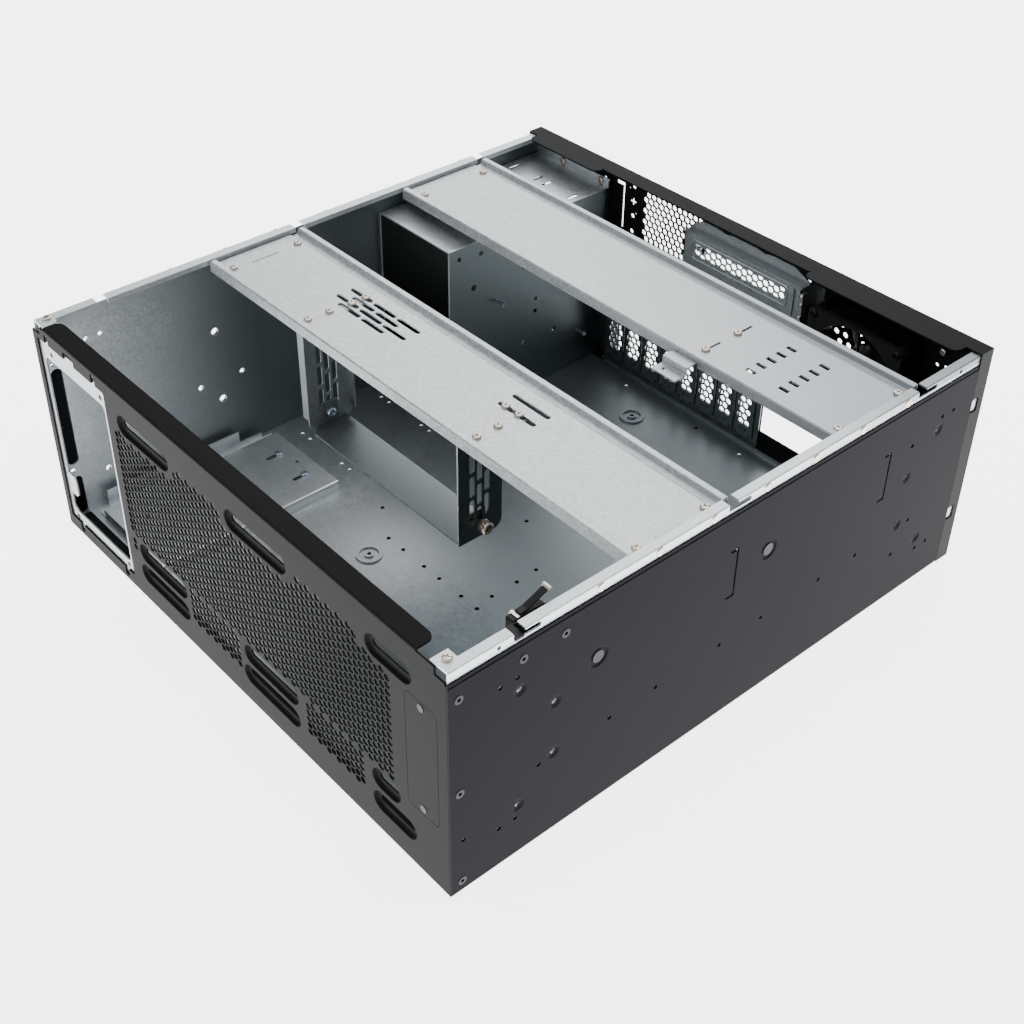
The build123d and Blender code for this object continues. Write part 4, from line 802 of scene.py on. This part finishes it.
def buildRiserCover():
    # columns of hexagons, cut off at the upper and lower edge of the field, inside a pressed rim
    r = riserSizes
    centres = hexGrid(r["limits"], r["pitch"], upright=True)
    holes = polygonHoles(centres[centres[:, 1] > r["limits"][2] + 1], r["flats"] / np.sqrt(3), 6)
    holes[:, :, 1] = np.clip(holes[:, :, 1], *r["span"])
    left, right, low, high = r["rim"]
    moves = np.array([0, 0.25, 0.75, 1]) * r["rimWide"]
    rises = np.array([0, 1, 1, 0]) * r["rimRise"]
    paths = []
    for move in moves:
        paths.append(roundedBox(left + move, right - move, low + move, high - move, r["rimCorner"] - move))
    face = plate(roundedBox(*r["window"], r["corner"]), list(holes), r["near"], r["near"] + r["sheet"])
    parts = [face, sweepRings(paths, r["near"] + r["rimSunk"] - rises)]
    addPiece("riserCover", parts, "riser", "chassis", ["riser_cover"])
    print("riser cover with", len(holes), "hexagons")


def buildRiserBracket():
    # the upper edge sinks by the sum of two bells, dip * exp(-((x - place) / wide) squared)
    b = bracketSizes
    left, right, near, far, low, top = (b[key] for key in ("left", "right", "near", "far", "low", "top"))
    sheet = b["sheet"]
    under = top - sheet
    x = np.linspace(b["waveLeft"], b["waveRight"], 60)
    sunk = sum(np.exp(-((x - place) / b["dipWide"]) ** 2) for place in b["dips"]) * b["dip"]
    crest = np.column_stack([x, b["crest"] - sunk])[::-1]
    root = [(left, b["waveRoot"]), (right, b["waveRoot"]), (right, b["shoulder"])]
    wave = np.vstack([root, crest, [(left, b["shoulder"])]])
    lid = [(near, under), (near, top), (b["wave"], top), (b["wave"], under)]
    floor = [(near + sheet, low), (near + sheet, low + sheet), (far, low + sheet), (far, low)]
    starts = b["endLow"], low
    ends = [np.array([(near, start), (far, start), (far, under), (near, under)]) for start in starts]
    face = roundedBox(left, right, low, under, b["faceCorner"])
    parts = [
        plate(face, [roundedBox(*b["window"], 1)], near, near + sheet),
        plate(wave, [], b["wave"], b["wave"] + sheet),
        strip(lid, left, right), strip(floor, left + sheet, right - sheet),
        plate(ends[0], [], left, left + sheet, "flank"), plate(ends[1], [], right - sheet, right, "flank"),
        plate(roundedBox(*b["tab"], 1), [], far - sheet, far),
    ]
    addPiece("riserBracket", parts, "riser", "chassis", ["riser_bracket"])
    c = clipSizes
    clip = plate(roundedBox(*c["box"], c["corner"]), [], c["near"], c["far"])
    addPiece("riserClip", [clip], "bright", "chassis")
    places = [(c["screwX"], c["near"], z) for z in c["screwHeights"]]
    small = setTurned(screwShape(clipHead, 2), places, "front")
    addPiece("riserClipScrews", small, "nickel", "chassis", (), True)


buildRearPanel()
buildPan()
buildRiserCover()


# Left wall and right hanger

wallSizes = {
    "outer": -218.7, "inner": -217.5, "near": 1.3, "far": 458.7, "low": 1.3, "top": 174.0, "under": 172.6,
    "sheet": 1.2, "flange": -210.0, "lipLow": 170.2, "bend": 1.6,
    "notches": (45, 208, 383), "notch": 8, "notchRun": 19, "notchLow": 169.0,
    "tabIn": -204.4, "tabFar": 13.0, "tabCorner": 4.0, "tabBevel": 0.3,
    "holes": (
        (8, 134.5, 1.5), (35.5, 145, 1.75), (46.5, 145, 1.75), (135.5, 110, 3.0), (118.5, 67, 2.25),
        (155, 67, 2.25), (136, 50, 3.0), (35.5, 33.5, 2.25), (8, 43.5, 2.0), (35, 170.6, 1.5),
        (427, 170.6, 1.5),
    ),
    "slots": ((5.3, 14, 49, 131), (5.3, 14, 4, 38)), "slotCorner": 4.3,
}
hangerSizes = {
    "inner": 64.0, "outer": 65.2, "near": 134.5, "far": 170.5, "low": 84.5, "top": 169.9, "sheet": 1.2,
    "corner": 7.0, "nearCorner": 0.8, "flange": (58.0, 94.5, 165.9), "flangeCorner": 0.4, "lap": 0.1,
    "ear": (78.2, 136.5, 184.0), "slotHalf": 8.15, "slotWide": 4.2,
    "columns": ((145.8, (145.7, 127.3, 108.9)), (158, (145.7, 127.3, 108.9)), (151.9, (138, 119.2, 101))),
}


def railSection():
    # quarter bend from the wall, the flange and its lip, and back along the inside
    w = wallSizes
    bend, sheet, top, outer, flange = (w[key] for key in ("bend", "sheet", "top", "outer", "flange"))
    turn = np.linspace(0, np.pi / 2, 6)
    across, up = np.cos(turn), np.sin(turn)
    outside = np.column_stack([outer + bend - bend * across, top - bend + bend * up])
    radius = bend - sheet
    inside = np.column_stack([outer + bend - radius * across, top - bend + radius * up])
    lip = [(flange, top), (flange, w["lipLow"]), (flange - sheet, w["lipLow"]), (flange - sheet, top - sheet)]
    return np.vstack([outside, lip, inside[::-1]])


def buildLeftWall():
    # the wall below the rail, then the rail in the lengths that its three notches leave
    w = wallSizes
    near, far, under, top = w["near"], w["far"], w["under"], w["top"]
    edge = [(near, w["low"]), (far, w["low"]), (far, under)]
    for start in w["notches"][::-1]:
        end = start + w["notchRun"]
        edge += [(end, under), (end, w["notchLow"]), (start, w["notchLow"]), (start, under)]
    edge.append((near, under))
    holes = [polygonHoles([(back, z)], radius, 20)[0] for back, z, radius in w["holes"]]
    holes += [roundedBox(*slot, w["slotCorner"], 8) for slot in w["slots"]]
    parts = [plate(np.array(edge), holes, w["inner"], w["outer"], "flank")]
    starts = [near, *[start + w["notch"] for start in w["notches"]]]
    for start, end in zip(starts, [*w["notches"], far]):
        points, faces = strip(railSection(), start, end)
        parts.append((points[:, [1, 0, 2]], faces))
    tabIn, tabFar, corner = w["tabIn"], w["tabFar"], w["tabCorner"]
    bevel = corner * w["tabBevel"]
    tab = np.array([
        (w["flange"], near), (tabIn, near), (tabIn, tabFar - corner), (tabIn - bevel, tabFar - bevel),
        (tabIn - corner, tabFar), (w["flange"], tabFar),
    ])
    parts.append(plate(tab, [], top - w["sheet"], top, "level"))
    addPiece("sideWallLeft", parts, "wall", "chassis", ["side_wall_left"])


def buildRightHanger():
    # square at the three corners under and beside the brace, rounded at the lower far one
    h = hangerSizes
    box = h["near"], h["far"], h["low"], h["top"]
    square = roundedBox(*box, h["nearCorner"])
    bow = roundedBox(*box, h["corner"])
    quarter = len(bow) // 4
    web = np.vstack([square[:3 * quarter], bow[3 * quarter:]])
    slots = []
    for back, heights in h["columns"]:
        for z in heights:
            slots.append(obround(z - h["slotHalf"], z + h["slotHalf"], back, h["slotWide"])[::-1, ::-1])
    left, low, high = h["flange"]
    flange = roundedBox(left, h["inner"] + h["lap"], low, high, h["flangeCorner"])
    right, near, far = h["ear"]
    root = h["outer"] - h["lap"]
    ear = np.array([(root, near), (right, near), (right, far), (root, far)])
    parts = [
        plate(web, slots, h["inner"], h["outer"], "flank"),
        plate(flange, [], h["far"] - h["sheet"], h["far"]),
        plate(ear, [], h["top"] - h["sheet"], h["top"], "level"),
    ]
    addPiece("hangerRight", parts, "hanger", "chassis", ["hanger_right"])


buildLeftWall()
buildRightHanger()
print("left wall and right hanger are built")


# Screws and rivets

panHead = {"radius": 3.0, "height": 1.8, "shank": 1.5, "cross": 0.6, "crossDeep": 0.6}
broadHead = {**panHead, "radius": 3.4, "height": 1.6, "shank": 2.05}
clampHead = {**panHead, "radius": 3.5, "height": 2.2, "shank": 1.75}
clipHead = {**panHead, "radius": 1.9, "height": 1.2, "shank": 1.0}
braceFlat = 171.2
braceScrewPlaces = (
    (-193.5, 198.3), (-193.5, 143.5), (208.5, 198.3), (208.5, 143.5),
    (-193.5, 374.8), (-193.5, 316.4), (208.5, 374.8), (208.5, 316.4),
    (-100.6, 190), (-100.6, 178), (-102, 160.6), (-103, 143.4), (59.7, 178), (72, 178), (72.6, 160.6),
    (72.6, 143.4), (95.6, 351), (95.6, 320),
)
fanReach = grilleSizes["screwPitch"] / 2
fanBack = grilleSizes["screwBack"]
fanX, fanZ = grilleSizes["middle"]
fanCorners = [(fanX + x, fanBack, fanZ + z) for x in (-fanReach, fanReach) for z in (-fanReach, fanReach)]
screwSets = {
    "braceScrews": (panHead, 3.6, "up", [(x, back, braceFlat) for x, back in braceScrewPlaces], "nickel"),
    "cornerScrews": (panHead, 1.1, "up", [(210, 8, 174), (-213, 9, 174)], "nickel"),
    "powerScrews": (panHead, 3.6, "front", [(-185.3, 453.8, 159.5), (-141.3, 453.8, 159.5)], "nickel"),
    "rearScrew": (panHead, 1.1, "front", [(185, 458.8, 156)], "nickel"),
    "trayScrews": (panHead, 1.1, "up", [(-178, 156, 10), (-144, 156, 10)], "zinc"),
    "fanScrews": (broadHead, 4, "front", fanCorners, "blackOxide"),
    "shelfScrew": (clampHead, 4.75, "right", [(-95.75, 151.9, 96)], "zinc"),
}
screwNodes = {
    "braceScrews": "brace_screws", "cornerScrews": "corner_screws", "powerScrews": "psu_screws",
    "rearScrew": "rear_screw", "trayScrews": "tray_screws", "fanScrews": "fan_screws",
    "shelfScrew": "shelf_screw",
}
shellRivets = {"places": ((7, 153), (51, 154), (81, 154), (7, 82), (8, 9)), "face": 220.0}
railRivets = {"backs": (107, 152, 196, 241, 284, 328, 372), "height": 170.6, "face": 218.7}
pinPlaces = ((-132.9, 337, 97), (-132.9, 426, 34))
thumbScrew = {
    "at": (65.55, 151.9, 96.0), "radius": 4.3, "long": 9.0, "pin": 1.75, "pinLong": 5.1, "tooth": 0.28,
    "socket": 2.3, "socketFloor": 1.6, "socketDeep": 4,
}


def screwShape(size, long):
    # shank, flat underside, domed rim and a cross recess that narrows downwards
    radius, height = size["radius"], size["height"]
    recess = size["cross"] * radius
    floor = height * (1 - size["crossDeep"])
    return turnedShape([
        ("circle", size["shank"], -long), ("circle", size["shank"], 0), ("circle", radius * 0.96, 0),
        ("circle", radius, height * 0.12), ("circle", radius, height * 0.45),
        ("circle", radius * 0.93, height * 0.76), ("circle", radius * 0.8, height * 0.94),
        ("circle", radius * 0.66, height), ("cross", recess, height), ("cross", recess * 0.62, floor),
    ])


def buildScrews():
    for name, (head, long, facing, places, finish) in screwSets.items():
        body = "shelf" if name == "shelfScrew" else "chassis"
        slot = "dark_fastener" if finish == "blackOxide" else finish
        parts = setTurned(screwShape(head, long), places, facing)
        addPiece(name, parts, finish, body, [screwNodes[name]], True)


def buildRivets():
    socket = turnedShape([
        ("circle", 1.5, -1.2), ("circle", 1.5, 0), ("circle", 2.85, 0), ("circle", 3.0, 0.1),
        ("circle", 2.9, 0.24), ("circle", 2.5, 0.3), ("circle", 1.75, 0.3), ("hexagon", 1.15, 0.26),
        ("hexagon", 1.05, -0.8),
    ])
    parts = []
    for facing, hand in (("right", 1), ("left", -1)):
        face = hand * shellRivets["face"]
        parts += setTurned(socket, [(face, back, z) for back, z in shellRivets["places"]], facing)
    addPiece("shellRivets", parts, "blackOxide", "chassis", ["shell_rivets"], True)
    domed = turnedShape([
        ("circle", 1.1, -1.2), ("circle", 1.1, 0), ("circle", 3.1, 0), ("circle", 3.1, 0.2),
        ("circle", 2.8, 0.58), ("circle", 2.1, 0.8), ("circle", 1.5, 0.74), ("circle", 1.1, 0.4),
        ("circle", 0.5, 0.34),
    ])
    parts = []
    for facing, hand in (("right", 1), ("left", -1)):
        face, height = hand * railRivets["face"], railRivets["height"]
        parts += setTurned(domed, [(face, back, height) for back in railRivets["backs"]], facing)
    addPiece("railRivets", parts, "nickel", "chassis", ["rail_rivets"], True)


def buildThumbScrew():
    t = thumbScrew
    radius, long = t["radius"], t["long"]
    shape = turnedShape([
        ("circle", t["pin"], -t["pinLong"]), ("circle", t["pin"], 0), ("circle", radius * 0.8, 0),
        ("circle", radius * 0.84, 1.2), ("knurl", radius * 0.97, 1.5), ("knurl", radius, 1.9),
        ("knurl", radius, long - 0.8), ("knurl", radius * 0.95, long - 0.3), ("circle", radius * 0.84, long),
        ("hexagon", t["socket"], long), ("hexagon", t["socketFloor"], long - t["socketDeep"]),
    ], 72)
    parts = setTurned(shape, [t["at"]], "right")
    addPiece("shelfThumbscrew", parts, "nickel", "shelf", ["shelf_thumbscrew"], True)


def buildPins():
    pin = turnedShape([
        ("circle", 1.5, -1.2), ("circle", 1.5, 0.2), ("circle", 1.15, 0.4), ("circle", 1.15, 6.4),
        ("circle", 1.7, 6.8), ("circle", 1.7, 8.7), ("circle", 1.45, 9.0), ("circle", 0.8, 9.0),
        ("circle", 0.7, 7.6),
    ])
    parts = setTurned(pin, pinPlaces, "right")
    addPiece("powerCagePins", parts, "zinc", "chassis", ["psu_cage_pins"], True)


buildScrews()
buildRivets()
buildThumbScrew()
buildPins()
buildRiserBracket()
print("screws and rivets are set")
